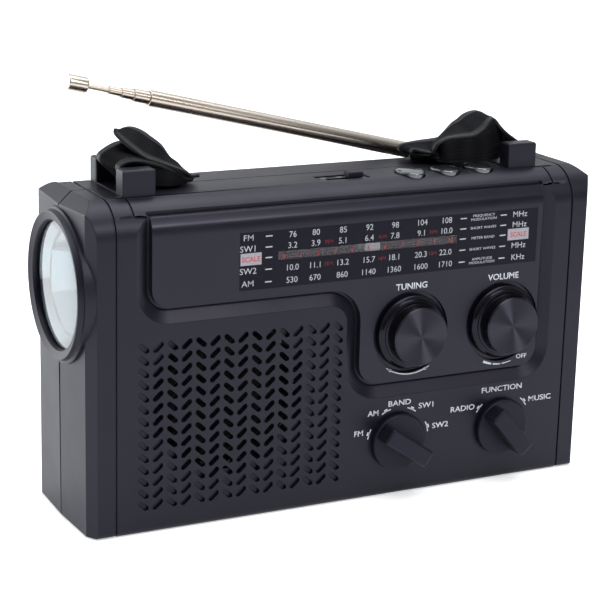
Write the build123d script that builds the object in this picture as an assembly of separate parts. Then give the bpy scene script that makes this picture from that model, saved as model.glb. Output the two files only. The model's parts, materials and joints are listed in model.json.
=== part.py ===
"""Portable emergency radio: cabinet, controls, dial drive, torch, antenna and carrying strap.

Millimetres. +X runs along the cabinet to the right, -Y is the front, +Z is up.
The origin is the centre of the flat base.
"""
from build123d import *
import os

# ---- driving dimensions ------------------------------------------------------------------
LENGTH = 235.0
HEIGHT = 136.5
DEPTH = 64.0
WALL = 2.2
FRONT_WALL = 5.0
EDGE_R = 15.0            # long rounded top edges
BASE_R = 2.5
CAP_SEAM_X = 105.5       # groove between the middle stretch and each end cap
CAP_LIFT = 0.6           # end caps stop short of the base plane
CAP_FLAT_X = 113.3       # where the front plane turns into the end cap's chamfer
CAP_EDGE_X = 116.5
CAP_EDGE_Y = 27.0
TOP_CUT_X = 112.0        # end cap's sloped top corner
TOP_CUT_Z = 131.4
GROOVE = 0.7
GAP = 0.4

FRONT = -DEPTH / 2
BACK = DEPTH / 2
FRONT_INNER = FRONT + FRONT_WALL

# dial recess and the raised panel in it
RECESS_X = 96.95
RECESS_Z = 87.1
RECESS_LOW_Z = 44.4
RECESS_STEP_X = -3.6
RECESS_DEPTH = 2.8
PANEL_INSET = 6.4
PANEL_TOP = 130.4
SCALE_X = (-53.0, 88.0)
SCALE_Z = (97.4, 121.2)
STRIP_X = (-42.8, 47.8)
STRIP_Z = (108.7, 112.3)

# controls
TUNING = (27.2, 72.1)
VOLUME = (72.5, 72.1)
BAND = (22.5, 24.3)
FUNCTION = (74.3, 24.3)
SHAFT_R = 3.0
SHAFT_FIT = 0.06
BIG_KNOB_R = 17.0
BIG_KNOB_CAP_R = 12.6
BIG_KNOB_HEIGHT = 9.2
SMALL_KNOB_R = 12.6
BAND_ANGLE = 146.0
FUNCTION_ANGLE = 131.0

# speaker and its grille field
GRILLE_COLS = 15
GRILLE_ROWS = 14
GRILLE_FIRST = (-93.8, 78.0)
GRILLE_PITCH = (6.164, 5.08)
GRILLE_X = (-97.2, -4.2)
GRILLE_Z = (8.6, 81.4)
SPEAKER = (-56.8, 54.1)
SPEAKER_R = 33.0
SLOT_LENGTH = 5.7
SLOT_WIDTH = 2.0
SLOT_ANGLE = 42.0

# top
BUTTON_X = (33.8, 50.5, 67.2)
BUTTON_Y = -14.5
BUTTON_SIZE = (11.5, 15.0)
BUTTON_TOP = HEIGHT + 1.8
SWITCH = (2.8, -12.0)
SWITCH_PLATE = (23.0, 9.0)
SWITCH_REST = 5.2

# strap brackets and strap
BRACKET_X = {"left": (-97.8, -83.8), "right": (80.0, 94.0)}
POST_FRONT_Y = (-19.1, -11.6)
POST_REAR_Y = (10.4, 17.2)
POST_HEIGHT = 10.4
BRACKET_THICK = 3.2
BRACKET_THIN = 2.1
STRAP_PIN_R = 1.5
STRAP_WIDTH = 21.0
STRAP_THICK = 1.6
STRAP_Y = -0.6           # middle of the gap between the two posts of a bracket

# antenna
CHANNEL_X = (-111.3, 103.3)
CHANNEL_Y = 17.3
CHANNEL_Z = 124.4
ANTENNA = (84.0, 27.0, 131.1)
ANTENNA_TILT = 13.28
STUD_R = 2.0
SECTION_R = (3.5, 2.75, 2.25, 1.75, 1.2)
SECTION_END = (156.7, 163.6, 169.1, 174.6, 184.4)
SECTION_START = (5.0, 14.0, 19.0, 24.0, 34.0)
SECTION_FIT = 0.1
TIP_LENGTH = 8.6
TIP_R = 3.3

# torch in the left end
TORCH_Z = 98.5
TORCH_R = 31.5
TORCH_FACE = -(LENGTH / 2 + 3.0)

# battery bay
CELL_R = 17.1
CELL_LENGTH = 61.5
CELL_Y = 12.0
BAY_X = 95.2
BAY_Y = -5.6
BAY_Z = (3.4, 39.4)
DOOR_THICK = 2.6
DOOR_HINGE = (BACK - DOOR_THICK / 2, 4.4)
DOOR_PIN_R = 0.8
CELL_Z = BAY_Z[0] + CELL_R + 0.3

# dial drive, boards and rear sockets
POINTER_X = 8.0
RAIL_X = (-54.0, 62.0)
RAIL_R = 1.0
GANG = (-14.0, 92.0)
GANG_SPINDLE_R = 2.5
DRUM_R = 30.6
BOARD_Y = (8.0, 9.6)
CONTROL_BOARD_Y = (-17.5, -15.9)
BUTTON_BOARD_Z = (122.0, 123.6)
INLET_X = (60.0, 80.0)
INLET_Z = (62.0, 76.0)
SOCKET_Z = 69.0
DC_X, PHONE_X, USB_X = 42.0, 28.0, 8.0
SCREW_POINTS = ((-101.5, 14.0), (101.5, 14.0), (-84.0, 112.0), (101.0, 112.0))
SCREW_HEAD_Y = 8.0


# ---- helpers -----------------------------------------------------------------------------
def block(x, y, z):
    """Box from three (low, high) ranges."""
    size = [hi - lo for lo, hi in (x, y, z)]
    centre = [(hi + lo) / 2 for lo, hi in (x, y, z)]
    return Pos(*centre) * Box(*size)


def rod_x(centre, r, x):
    return Pos((x[0] + x[1]) / 2, *centre) * Rot(0, 90, 0) * Cylinder(r, x[1] - x[0])


def rod_y(centre, r, y):
    return Pos(centre[0], (y[0] + y[1]) / 2, centre[1]) * Rot(90, 0, 0) * Cylinder(r, y[1] - y[0])


def prism_y(sketch, y):
    """Extrude a sketch drawn in x, z between two y values."""
    return extrude(Plane.XZ.offset(-y[1]) * sketch, y[1] - y[0])


def prism_x(sketch, x):
    """Extrude a sketch drawn in y, z between two x values."""
    return extrude(Plane.YZ.offset(x[0]) * sketch, x[1] - x[0])


def prism_z(sketch, z):
    """Extrude a sketch drawn in x, y between two z values."""
    return extrude(Plane.XY.offset(z[0]) * sketch, z[1] - z[0])


def outline(points, radii=0):
    """Closed face through points with a rounding radius at each corner."""
    return make_face(FilletPolyline(*points, radius=radii, close=True).edges())


def carve(solid, cuts):
    """Take each cut away in turn."""
    for cut in cuts:
        solid -= cut
    return solid


def save(name, *solids):
    """Write one node, whose solids stay separate."""
    shapes = [s for item in solids for s in item.solids()]
    shape = shapes[0] if len(shapes) == 1 else Compound(children=shapes)
    export_step(shape, f"parts/{name}.step")


def mirrored(points):
    """Right-hand half outline, bottom to top, closed with its mirror image."""
    return points + [(-x, y) for x, y in reversed(points)]


# ---- cabinet -----------------------------------------------------------------------------
def blank(inset):
    """The cabinet's outer form, moved in by inset on every side."""
    half = LENGTH / 2 - inset
    plan = outline(mirrored([
        (CAP_FLAT_X - inset, FRONT + inset),
        (CAP_EDGE_X - inset, -CAP_EDGE_Y),
        (half, 0),
        (CAP_EDGE_X - inset, CAP_EDGE_Y),
        (CAP_FLAT_X - inset, BACK - inset),
    ]))
    side = outline([
        (FRONT + inset, inset),
        (BACK - inset, inset),
        (BACK - inset, HEIGHT - inset),
        (FRONT + inset, HEIGHT - inset),
    ], [BASE_R, BASE_R, EDGE_R - inset, EDGE_R - inset])
    face = outline(mirrored([
        (half + 1, inset),
        (half + 1, TOP_CUT_Z - inset - 1),
        (TOP_CUT_X - inset, HEIGHT - inset),
    ]))
    return prism_z(plan, (0, HEIGHT)) & prism_x(side, (-LENGTH, LENGTH)) & prism_y(face, (-DEPTH, DEPTH))


def recess_face(inset, top):
    """Outline of the dial recess, moved in by inset."""
    step = RECESS_STEP_X + inset
    points = [
        (-RECESS_X + inset, top),
        (-RECESS_X + inset, RECESS_Z + inset),
        (step, RECESS_Z + inset),
        (step, RECESS_LOW_Z + inset),
        (RECESS_X - inset, RECESS_LOW_Z + inset),
        (RECESS_X - inset, top),
    ]
    return outline(points, [0, 14.4 - inset, 8.1 + inset, 15.9 - inset, 14.4 - inset, 0])


def recess_cut():
    """Sloped-wall pocket round the dial panel, with a gap groove above it."""
    floor = FRONT + RECESS_DEPTH
    slope = PANEL_INSET - 1.0
    lip = slope / RECESS_DEPTH
    outer = Plane.XZ.offset(-(FRONT - 1)) * recess_face(-lip, HEIGHT + 2)
    inner = Plane.XZ.offset(-floor) * recess_face(slope, HEIGHT + 2)
    pocket = loft([outer, inner], ruled=True)
    top_gap = block(
        (-RECESS_X + slope, RECESS_X - slope), (FRONT - 1, floor + 1.9), (PANEL_TOP + 0.1, PANEL_TOP + 1.5))
    return pocket + top_gap


def grooves():
    """End-cap grooves and the line between the cabinet halves."""
    skin = blank(0) - blank(GROOVE)
    rings = [block((s * CAP_SEAM_X - 0.35, s * CAP_SEAM_X + 0.35), (-DEPTH, DEPTH), (-1, HEIGHT + 1))
             for s in (-1, 1)]
    lines = [block((s * RECESS_X - 0.3, s * RECESS_X + 0.3), (-DEPTH, -19.5), (PANEL_TOP, HEIGHT + 1))
             for s in (-1, 1)]
    seam = block((-LENGTH, LENGTH), (-0.3, 0.3), (1.5, HEIGHT + 1))
    return skin & (rings[0] + rings[1] + seam + lines[0] + lines[1])


def cap_lift():
    """Thin slices that stop the end caps short of the base plane."""
    return [block((lo, hi), (-DEPTH, DEPTH), (-1, CAP_LIFT))
            for lo, hi in ((-LENGTH, -CAP_SEAM_X), (CAP_SEAM_X, LENGTH))]


def torch_boss():
    """Round swelling of the left end that carries the torch."""
    return rod_x((0, TORCH_Z), TORCH_R + 0.3, (-LENGTH / 2 - 0.6, -108))


def torch_bore():
    return rod_x((0, TORCH_Z), TORCH_R - 3.5, (-LENGTH, -96))


def cabinet_form():
    """Outer form with the torch swelling, held inside the depth of the cabinet."""
    boss = torch_boss() & block((-LENGTH, 0), (FRONT, BACK), (0, HEIGHT))
    return blank(0) + boss


def bracket_pockets():
    """Pockets in the top for the two strap brackets, shallower over the antenna's wall."""
    pockets = []
    for x0, x1 in BRACKET_X.values():
        x = (x0 - 0.1, x1 + 0.1)
        pockets.append(block(x, (POST_FRONT_Y[0] - 0.1, POST_REAR_Y[0]), (130, HEIGHT + 1)))
        pockets.append(block(x, (POST_REAR_Y[0] - 1, CHANNEL_Y + 1), (HEIGHT - BRACKET_THIN, HEIGHT + 1)))
    return pockets


def front_cabinet():
    half = block((-LENGTH, LENGTH), (FRONT - 1, 0), (-1, HEIGHT + 1))
    cavity = blank(WALL) & block((-LENGTH, LENGTH), (FRONT_INNER, 1), (0, HEIGHT))
    shell = (cabinet_form() & half) - cavity
    for x, z in SCREW_POINTS:
        shell += rod_y((x, z), 3.5, (FRONT_INNER - 0.1, 0))
    cuts = [recess_cut(), grooves(), torch_bore(), *cap_lift(), *bracket_pockets()]
    cuts += [rod_y(p, 1.3, (-12, 1)) for p in SCREW_POINTS]
    cuts += [rod_y(p, 5.0, (FRONT - 1, FRONT_INNER + 1)) for p in (TUNING, VOLUME)]
    cuts += [rod_y(p, 4.0, (FRONT - 1, FRONT_INNER + 1)) for p in (BAND, FUNCTION)]
    window = (STRIP_X[0] - 1, STRIP_X[1] + 1), (STRIP_Z[0] - 2, STRIP_Z[1] + 2)
    cuts.append(block(window[0], (FRONT - 1, FRONT_INNER + 1), window[1]))
    cuts.append(block(GRILLE_X, (FRONT - 1, FRONT + WALL), GRILLE_Z))
    cuts.append(rod_y(SPEAKER, SPEAKER_R - 1.2, (FRONT + 1, FRONT_INNER + 1)))
    cuts += [prism_z(button_outline(x, GAP), (120, HEIGHT + 1)) for x in BUTTON_X]
    sx, sy = SWITCH
    lx, ly = SWITCH_PLATE
    cuts.append(block((sx - lx / 2, sx + lx / 2), (sy - ly / 2, sy + ly / 2), (HEIGHT - 1.4, HEIGHT + 1)))
    cuts.append(block((sx - 9, sx + 9), (sy - 2, sy + 2), (120, HEIGHT + 1)))
    return carve(shell, cuts)


def rear_cabinet():
    half = block((-LENGTH, LENGTH), (0, BACK + 1), (-1, HEIGHT + 1))
    channel = block(CHANNEL_X, (CHANNEL_Y, BACK + 1), (CHANNEL_Z, HEIGHT + 1))
    under_x = (CHANNEL_X[0] - WALL, CHANNEL_X[1] + WALL)
    under = block(under_x, (CHANNEL_Y - WALL, BACK + 1), (CHANNEL_Z - WALL, HEIGHT + 1))
    cavity = (blank(WALL) & half) - under
    shell = (cabinet_form() & half) - cavity
    bay_x = (-BAY_X - 1.8, BAY_X + 1.8)
    shell += block(bay_x, (0, BACK - 0.5), (1.2, BAY_Z[1] + 1.8))
    shell += block(bay_x, (BAY_Y - 1.6, 1), (WALL + 0.1, BAY_Z[1] + 1.8))
    for x, z in SCREW_POINTS:
        shell += rod_y((x, z), 4.6, (0, BACK - 0.5))
    door_x = (-BAY_X - 1.4, BAY_X + 1.4)
    door_z = (DOOR_HINGE[1] - DOOR_THICK / 2 - 0.3, BAY_Z[1] + 1.8)
    cuts = [channel, grooves(), torch_bore(), *cap_lift(), *bracket_pockets()]
    cuts.append(block((-BAY_X, BAY_X), (BAY_Y, BACK + 1), BAY_Z))
    cuts.append(block(door_x, (BACK - DOOR_THICK - 0.2, BACK + 1), door_z))
    cuts.append(rod_x(DOOR_HINGE, DOOR_PIN_R + SHAFT_FIT, (-BAY_X - 3.2, BAY_X + 3.2)))
    cuts += [rod_y(p, 1.6, (-1, BACK)) for p in SCREW_POINTS]
    cuts += [rod_y(p, 3.4, (SCREW_HEAD_Y, BACK + 1)) for p in SCREW_POINTS]
    cuts.append(rod_y((ANTENNA[0], ANTENNA[2]), STUD_R + SHAFT_FIT, (CHANNEL_Y - WALL - 1, CHANNEL_Y + 1)))
    cuts.append(block(INLET_X, (BACK - 4, BACK + 1), INLET_Z))
    cuts += [rod_y((x, SOCKET_Z), r, (BACK - 4, BACK + 1)) for x, r in ((DC_X, 4.1), (PHONE_X, 3.1))]
    cuts.append(block((USB_X - 7.4, USB_X + 7.4), (BACK - 4, BACK + 1), (SOCKET_Z - 3.4, SOCKET_Z + 3.4)))
    return carve(shell, cuts)


# ---- speaker -----------------------------------------------------------------------------
def slot_is_open(col, row):
    """Slots over the cone go right through, the others are shallow."""
    dx = GRILLE_FIRST[0] + GRILLE_PITCH[0] * col - SPEAKER[0]
    dz = GRILLE_FIRST[1] - GRILLE_PITCH[1] * row - SPEAKER[1]
    return dx * dx + dz * dz < (SPEAKER_R + 0.5) ** 2


def speaker_grille():
    plate = block(GRILLE_X, (FRONT, FRONT + WALL), GRILLE_Z)
    slots = []
    for col in range(GRILLE_COLS):
        turn = -SLOT_ANGLE if col % 2 == 0 else SLOT_ANGLE
        for row in range(GRILLE_ROWS):
            x = GRILLE_FIRST[0] + GRILLE_PITCH[0] * col
            z = GRILLE_FIRST[1] - GRILLE_PITCH[1] * row
            depth = WALL + 1 if slot_is_open(col, row) else 1.4
            slot = Pos(x, z) * Rot(0, 0, turn) * SlotOverall(SLOT_LENGTH, SLOT_WIDTH)
            slots.append(prism_y(slot, (FRONT - 1, FRONT - 1 + depth + 1)))
    return plate - slots


def speaker():
    x, z = SPEAKER
    back = FRONT_INNER
    flange = rod_y(SPEAKER, SPEAKER_R + 3, (back, back + 1.4))
    flange -= rod_y(SPEAKER, SPEAKER_R - 2, (back - 1, back + 3))
    bowl = cone_y(SPEAKER, SPEAKER_R - 1, 15, (back + 1.4, back + 13))
    hollow = cone_y(SPEAKER, SPEAKER_R - 2, 13.6, (back + 1.4, back + 11.6))
    basket = flange + (bowl - hollow) - rod_y(SPEAKER, 11.5, (back + 11, back + 14))
    for k in range(6):
        window = Pos(x, back + 7, z) * Rot(0, 60 * k, 0) * Pos(24, 0, 0) * Box(18, 6.5, 11)
        basket -= window
    cone = cone_y(SPEAKER, SPEAKER_R - 3, 9, (back + 0.3, back + 10.6))
    cone -= cone_y(SPEAKER, SPEAKER_R - 3.8, 8.2, (back + 0.2, back + 9.8))
    dome = Pos(x, back + 10, z) * Rot(90, 0, 0) * (Sphere(8) & Pos(0, 0, 4) * Box(20, 20, 8))
    cone += dome & rod_y(SPEAKER, 8.0, (back + 2, back + 10.6))
    magnet = rod_y(SPEAKER, 14.5, (back + 13, back + 19.6)) + rod_y(SPEAKER, 11.5, (back + 11.6, back + 13))
    save("speaker_basket", basket)
    save("speaker_cone", cone)
    save("speaker_magnet", magnet)


def cone_y(centre, r_front, r_back, y):
    """Cone frustum along Y, with its front radius at the lower y."""
    place = Pos(centre[0], (y[0] + y[1]) / 2, centre[1]) * Rot(-90, 0, 0)
    return place * Cone(r_front, r_back, y[1] - y[0])


# ---- dial --------------------------------------------------------------------------------
def dial_panel():
    panel = prism_y(recess_face(PANEL_INSET, PANEL_TOP), (FRONT, FRONT + RECESS_DEPTH))
    round_r = 6.0
    corner = block((-LENGTH, LENGTH), (FRONT - 1, FRONT + round_r), (PANEL_TOP + 1.2 - round_r, HEIGHT))
    corner -= rod_x((FRONT + round_r, PANEL_TOP + 1.2 - round_r), round_r, (-LENGTH, LENGTH))
    panel -= corner
    scale = block(SCALE_X, (FRONT - 1, FRONT + 1.0), SCALE_Z)
    window_x = (STRIP_X[0] - 1, STRIP_X[1] + 1)
    window = block(window_x, (FRONT, FRONT + 5), (STRIP_Z[0] - 2, STRIP_Z[1] + 2))
    holes = [rod_y(p, BIG_KNOB_R + 0.8, (FRONT - 1, FRONT + 1.6)) for p in (TUNING, VOLUME)]
    holes += [rod_y(p, 5.0, (FRONT - 1, FRONT + 5)) for p in (TUNING, VOLUME)]
    return panel - [scale, window, *holes]


def dial():
    scale = block(SCALE_X, (FRONT + 0.2, FRONT + 1.0), SCALE_Z)
    scale -= block(STRIP_X, (FRONT - 1, FRONT + 2), STRIP_Z)
    window = block(STRIP_X, (FRONT + 0.3, FRONT + 1.0), STRIP_Z)
    rail_y, rail_z = FRONT_INNER + 3.6, 110.5
    rail = rod_x((rail_y, rail_z), RAIL_R, RAIL_X)
    for x in RAIL_X:
        rail += block((x - 2, x + 2), (FRONT_INNER, rail_y + 1.5), (rail_z - 2, rail_z + 2))
    x0 = POINTER_X
    pointer = block((x0 - 5, x0 + 5), (rail_y - 2.4, rail_y + 2.4), (rail_z - 2.4, rail_z + 2.4))
    pointer -= rod_x((rail_y, rail_z), RAIL_R + SHAFT_FIT, (x0 - 9, x0 + 9))
    pointer += block((x0 - 3.6, x0 + 3.6), (FRONT + 1.5, rail_y - 2.0), (rail_z - 2.2, rail_z + 2.2))
    save("dial_scale", scale)
    save("dial_window", window)
    save("pointer_rail", rail)
    save("dial_pointer", pointer)


def tuning_drive():
    shaft = rod_y(TUNING, SHAFT_R, (FRONT - 6, -7))
    shaft -= rod_y(TUNING, SHAFT_R + 1, (-10.5, -8.5)) - rod_y(TUNING, SHAFT_R - 0.5, (-12, -7))
    bush = rod_y(TUNING, 4.9, (FRONT_INNER - 3, FRONT_INNER + 4))
    bush += rod_y(TUNING, 7.0, (FRONT_INNER, FRONT_INNER + 2))
    bush -= rod_y(TUNING, SHAFT_R + SHAFT_FIT, (FRONT_INNER - 4, FRONT_INNER + 5))
    drum = rod_y(GANG, DRUM_R, (-10, -6))
    drum -= rod_y(GANG, DRUM_R + 1, (-9, -7)) - rod_y(GANG, DRUM_R - 1.2, (-9, -7))
    for k in range(5):
        place = Pos(GANG[0], -8, GANG[1]) * Rot(0, 72 * k, 0) * Pos(17.5, 0, 0)
        drum -= place * Rot(90, 0, 0) * Cylinder(7, 6)
    spindle = rod_y(GANG, GANG_SPINDLE_R, (-6, 2))
    body = block((GANG[0] - 10, GANG[0] + 10), (-4.4, BOARD_Y[0]), (GANG[1] - 10, GANG[1] + 10))
    body -= rod_y(GANG, GANG_SPINDLE_R + SHAFT_FIT, (-5, 2.4))
    save("tuning_shaft", shaft)
    save("tuning_bush", bush)
    save("tuning_drum", drum + spindle)
    save("tuning_capacitor", body)


# ---- knobs and what they turn ------------------------------------------------------------
def big_knob(centre):
    """Wide skirt, narrower cap, blind bore for the shaft."""
    skirt = rod_y(centre, BIG_KNOB_R, (FRONT - 2.0, FRONT + 1.0))
    skirt = chamfer(skirt.edges().sort_by(Axis.Y)[0], 0.8)
    body = cone_y(centre, BIG_KNOB_CAP_R, BIG_KNOB_CAP_R + 1.4, (FRONT - BIG_KNOB_HEIGHT, FRONT - 1.9))
    body = chamfer(body.edges().sort_by(Axis.Y)[0], 0.5)
    return skirt + body - rod_y(centre, SHAFT_R, (FRONT - 6, FRONT + 2))


def small_knob(centre, angle):
    """Low disc with a grip bar across it."""
    disc = rod_y(centre, SMALL_KNOB_R, (FRONT - 3.2, FRONT - 0.3))
    disc = chamfer(disc.edges().sort_by(Axis.Y)[0], 0.6)
    bar = Pos(centre[0], FRONT - 7.4, centre[1]) * Rot(0, -angle, 0) * Box(2 * SMALL_KNOB_R - 1.2, 8.6, 7.6)
    bar = fillet(bar.edges(), 1.2)
    bar &= rod_y(centre, SMALL_KNOB_R - 0.2, (FRONT - 20, FRONT))
    return disc + bar - rod_y(centre, SHAFT_R, (FRONT - 6, FRONT + 2))


def controls():
    save("tuning_knob", big_knob(TUNING))
    save("volume_knob", big_knob(VOLUME))
    save("band_knob", small_knob(BAND, BAND_ANGLE))
    save("function_knob", small_knob(FUNCTION, FUNCTION_ANGLE))
    for name, point in (("volume", VOLUME), ("band", BAND), ("function", FUNCTION)):
        save(f"{name}_shaft", rod_y(point, SHAFT_R, (FRONT - 6, -19.5)))
        bush = 4.9 if name == "volume" else 3.9
        body = rod_y(point, bush, (FRONT_INNER - 1.5, FRONT_INNER + 0.2))
        if name == "volume":
            body += rod_y(point, 8.5, (FRONT_INNER + 0.2, CONTROL_BOARD_Y[0]))
        else:
            x, z = point
            body += block((x - 9, x + 9), (FRONT_INNER + 0.2, CONTROL_BOARD_Y[0]), (z - 9, z + 9))
        body -= rod_y(point, SHAFT_R + SHAFT_FIT, (FRONT_INNER - 3, -19.2))
        save("volume_pot" if name == "volume" else f"{name}_switch", body)
    board = block((9, 98), CONTROL_BOARD_Y, (11, 84)) - rod_y(TUNING, 4.5, (-20, -10))
    save("control_board", board)


# ---- top controls ------------------------------------------------------------------------
def button_outline(x, grow):
    """Oval of one push button, in plan."""
    width, length = BUTTON_SIZE
    return Pos(x, BUTTON_Y) * Ellipse(width / 2 + grow, length / 2 + grow)


def top_controls():
    tact = []
    for k, x in enumerate(BUTTON_X):
        cap = prism_z(button_outline(x, 0), (131.2, BUTTON_TOP + 2))
        crown = Pos(x, BUTTON_Y, BUTTON_TOP - 34) * Sphere(34)
        cap = (cap & crown) + block((x - 3, x + 3), (BUTTON_Y - 3, BUTTON_Y + 3), (128.4, 131.3))
        save(f"push_button_{k + 1}", cap)
        tact.append(block((x - 3, x + 3), (BUTTON_Y - 3, BUTTON_Y + 3), (BUTTON_BOARD_Z[1], 127.0)))
    save("button_board", block((24, 77), (-23, -6), BUTTON_BOARD_Z), *tact)
    sx, sy = SWITCH
    lx, ly = SWITCH_PLATE
    plate = block((sx - lx / 2, sx + lx / 2), (sy - ly / 2, sy + ly / 2), (HEIGHT - 1.4, HEIGHT - 0.7))
    plate -= block((sx - 7.6, sx + 7.6), (sy - 1.4, sy + 1.4), (130, HEIGHT))
    knob_x = sx + SWITCH_REST
    knob = block((knob_x - 3.4, knob_x + 3.4), (sy - 2.6, sy + 2.6), (HEIGHT - 0.35, HEIGHT + 2.2))
    knob = fillet(knob.edges().group_by(Axis.Z)[-1], 0.6)
    knob += block((knob_x - 1.6, knob_x + 1.6), (sy - 1.0, sy + 1.0), (129.5, HEIGHT))
    body = block((sx - 11, sx + 11), (sy - 3.6, sy + 3.6), (124.5, 132.5))
    body -= block((sx - 8.4, sx + 8.4), (sy - 1.4, sy + 1.4), (129, 140))
    save("switch_plate", plate)
    save("slide_switch_knob", knob)
    save("slide_switch_body", body)


# ---- strap -------------------------------------------------------------------------------
def strap_brackets():
    pins = []
    for side, (x0, x1) in BRACKET_X.items():
        rim = HEIGHT + 0.35
        base = block((x0, x1), (POST_FRONT_Y[0], POST_REAR_Y[0] - 0.1), (HEIGHT - BRACKET_THICK, rim))
        rear_y = (POST_REAR_Y[0] - 1, POST_REAR_Y[1] - 0.1)
        base += block((x0, x1), rear_y, (HEIGHT - BRACKET_THIN + 0.05, rim))
        lip_z = (HEIGHT - BRACKET_THICK, HEIGHT - WALL - 0.1)
        lip = block((x0 - 1.5, x1 + 1.5), (POST_FRONT_Y[0] + 4, POST_REAR_Y[0] - 0.4), lip_z)
        posts = []
        for y0, y1 in (POST_FRONT_Y, (POST_REAR_Y[0], POST_REAR_Y[1] - 0.1)):
            post = block((x0, x1), (y0, y1), (HEIGHT, HEIGHT + POST_HEIGHT))
            posts.append(fillet(post.edges().group_by(Axis.Z)[-1], 1.0))
        middle = ((x0 + x1) / 2, HEIGHT + 6.2)
        pin_y = (POST_FRONT_Y[1] - 4, POST_REAR_Y[0] + 4)
        pin = rod_y(middle, STRAP_PIN_R, pin_y)
        save(f"strap_bracket_{side}", base + lip + posts[0] + posts[1] - pin)
        pins.append(pin)
    save("strap_pins", *pins)


def strap():
    """Plain webbing: a loop on each pin, a fold on the top, and a bight hanging behind."""
    y_top = (STRAP_Y - STRAP_WIDTH / 2, STRAP_Y + STRAP_WIDTH / 2)
    y_back = (BACK + 2.6, BACK + 2.6 + STRAP_WIDTH)
    parts = []
    for side, direction in (("left", 1), ("right", -1)):
        x0, x1 = BRACKET_X[side]
        cx = (x0 + x1) / 2
        cz = HEIGHT + 6.2
        loop = rod_y((cx, cz), STRAP_PIN_R + STRAP_THICK, y_top) - rod_y((cx, cz), STRAP_PIN_R, (-30, 30))
        ramp = slab((cx + direction * 2.5, cz), (cx + direction * 5, cz + 13), y_top)
        top = slab((cx + direction * 5, cz + 13), (cx + direction * 21, cz + 3), y_top)
        low = (cx + direction * 25, HEIGHT + 1.4)
        down = slab((cx + direction * 21, cz + 3), low, (-2, CHANNEL_Y - 0.6))
        parts += [loop, ramp, top, down]
        lane = sorted((cx + direction * 17, cx + direction * 33))
        parts.append(block(lane, (8, CHANNEL_Y + 2.2), (HEIGHT + 0.3, HEIGHT + 1.9)))
        parts.append(block(lane, (CHANNEL_Y + 0.4, CHANNEL_Y + 2.2), (CHANNEL_Z + 0.3, HEIGHT + 1.9)))
        parts.append(block(lane, (CHANNEL_Y + 0.4, BACK + 4), (CHANNEL_Z + 0.3, CHANNEL_Z + 1.9)))
    solid = parts[0]
    for part in parts[1:]:
        solid += part
    left = sum(BRACKET_X["left"]) / 2 + 33
    right = sum(BRACKET_X["right"]) / 2 - 33
    middle, half = (left + right) / 2, (right - left) / 2
    drop, steps = 62.0, 12
    lane_z = CHANNEL_Z + 1.1
    hang = [(middle + half * (2 * k / steps - 1), lane_z - drop * (1 - (2 * k / steps - 1) ** 2))
            for k in range(steps + 1)]
    for a, b in zip(hang, hang[1:]):
        solid += slab(a, b, y_back)
    for x, sign in ((left, -1), (right, 1)):
        lane = sorted((x, x + sign * 16))
        floor_z = (CHANNEL_Z + 0.3, CHANNEL_Z + 1.9)
        solid += block(lane, (BACK + 2.2, BACK + 4), floor_z)
        solid += block(lane, y_back, floor_z)
    return solid


def slab(a, b, y):
    """Flat stretch of webbing from a to b, both (x, z), with rounded ends."""
    dx, dz = b[0] - a[0], b[1] - a[1]
    length = (dx * dx + dz * dz) ** 0.5
    turn = Vector(1, 0, 0).get_signed_angle(Vector(dx, dz, 0), Vector(0, 0, 1))
    middle = Pos((a[0] + b[0]) / 2, (a[1] + b[1]) / 2)
    face = middle * Rot(0, 0, turn) * SlotOverall(length + STRAP_THICK, STRAP_THICK)
    return prism_y(face, y)


# ---- antenna -----------------------------------------------------------------------------
def antenna():
    x, y, z = ANTENNA
    turn = Pos(x, y, z) * Rot(0, -(180 - ANTENNA_TILT), 0)
    base = rod_y((x, z), 4.5, (CHANNEL_Y + 0.3, y - 4.2))
    base += rod_y((x, z), STUD_R, (CHANNEL_Y - WALL - 3.4, CHANNEL_Y + 1))
    ears = Box(7, 8.2, 7.6) - Box(9, 9.4, 4.4)
    ears = Pos(0, -0.9, 0) * ears
    ears &= Pos(0, -4, 0) * Box(8, 8, 9) + Cylinder(3.5, 9)
    base += turn * ears
    pin = Cylinder(1.1, 7.6)
    base -= turn * Cylinder(1.1, 10)
    tongue = Cylinder(3.2, 4.0) + Pos(3, 0, 0) * Box(6, 6.0, 4.0)
    tongue -= Cylinder(1.1 + SHAFT_FIT, 6)
    nut = rod_y((x, z), 3.1, (CHANNEL_Y - WALL - 3.2, CHANNEL_Y - WALL - 0.3))
    nut -= rod_y((x, z), STUD_R, (0, 30))
    save("antenna_base", base)
    save("antenna_pin_and_nut", turn * pin, nut)
    for k, (r, start, end) in enumerate(zip(SECTION_R, SECTION_START, SECTION_END)):
        tube = Pos((start + end) / 2, 0, 0) * Rot(0, 90, 0) * Cylinder(r, end - start)
        if k < 4:
            bore = SECTION_R[k + 1] + SECTION_FIT
            first = start + (4 if k == 0 else 1.5)
            tube -= Pos((first + end + 1) / 2, 0, 0) * Rot(0, 90, 0) * Cylinder(bore, end + 1 - first)
        if k == 0:
            tube += tongue
        save(f"antenna_section_{k + 1}", turn * tube)
    tip = Pos(SECTION_END[4] + TIP_LENGTH / 2, 0, 0) * Rot(0, 90, 0) * Cylinder(TIP_R, TIP_LENGTH)
    tip = fillet(tip.edges(), 0.6)
    save("antenna_tip", turn * tip)


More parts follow.
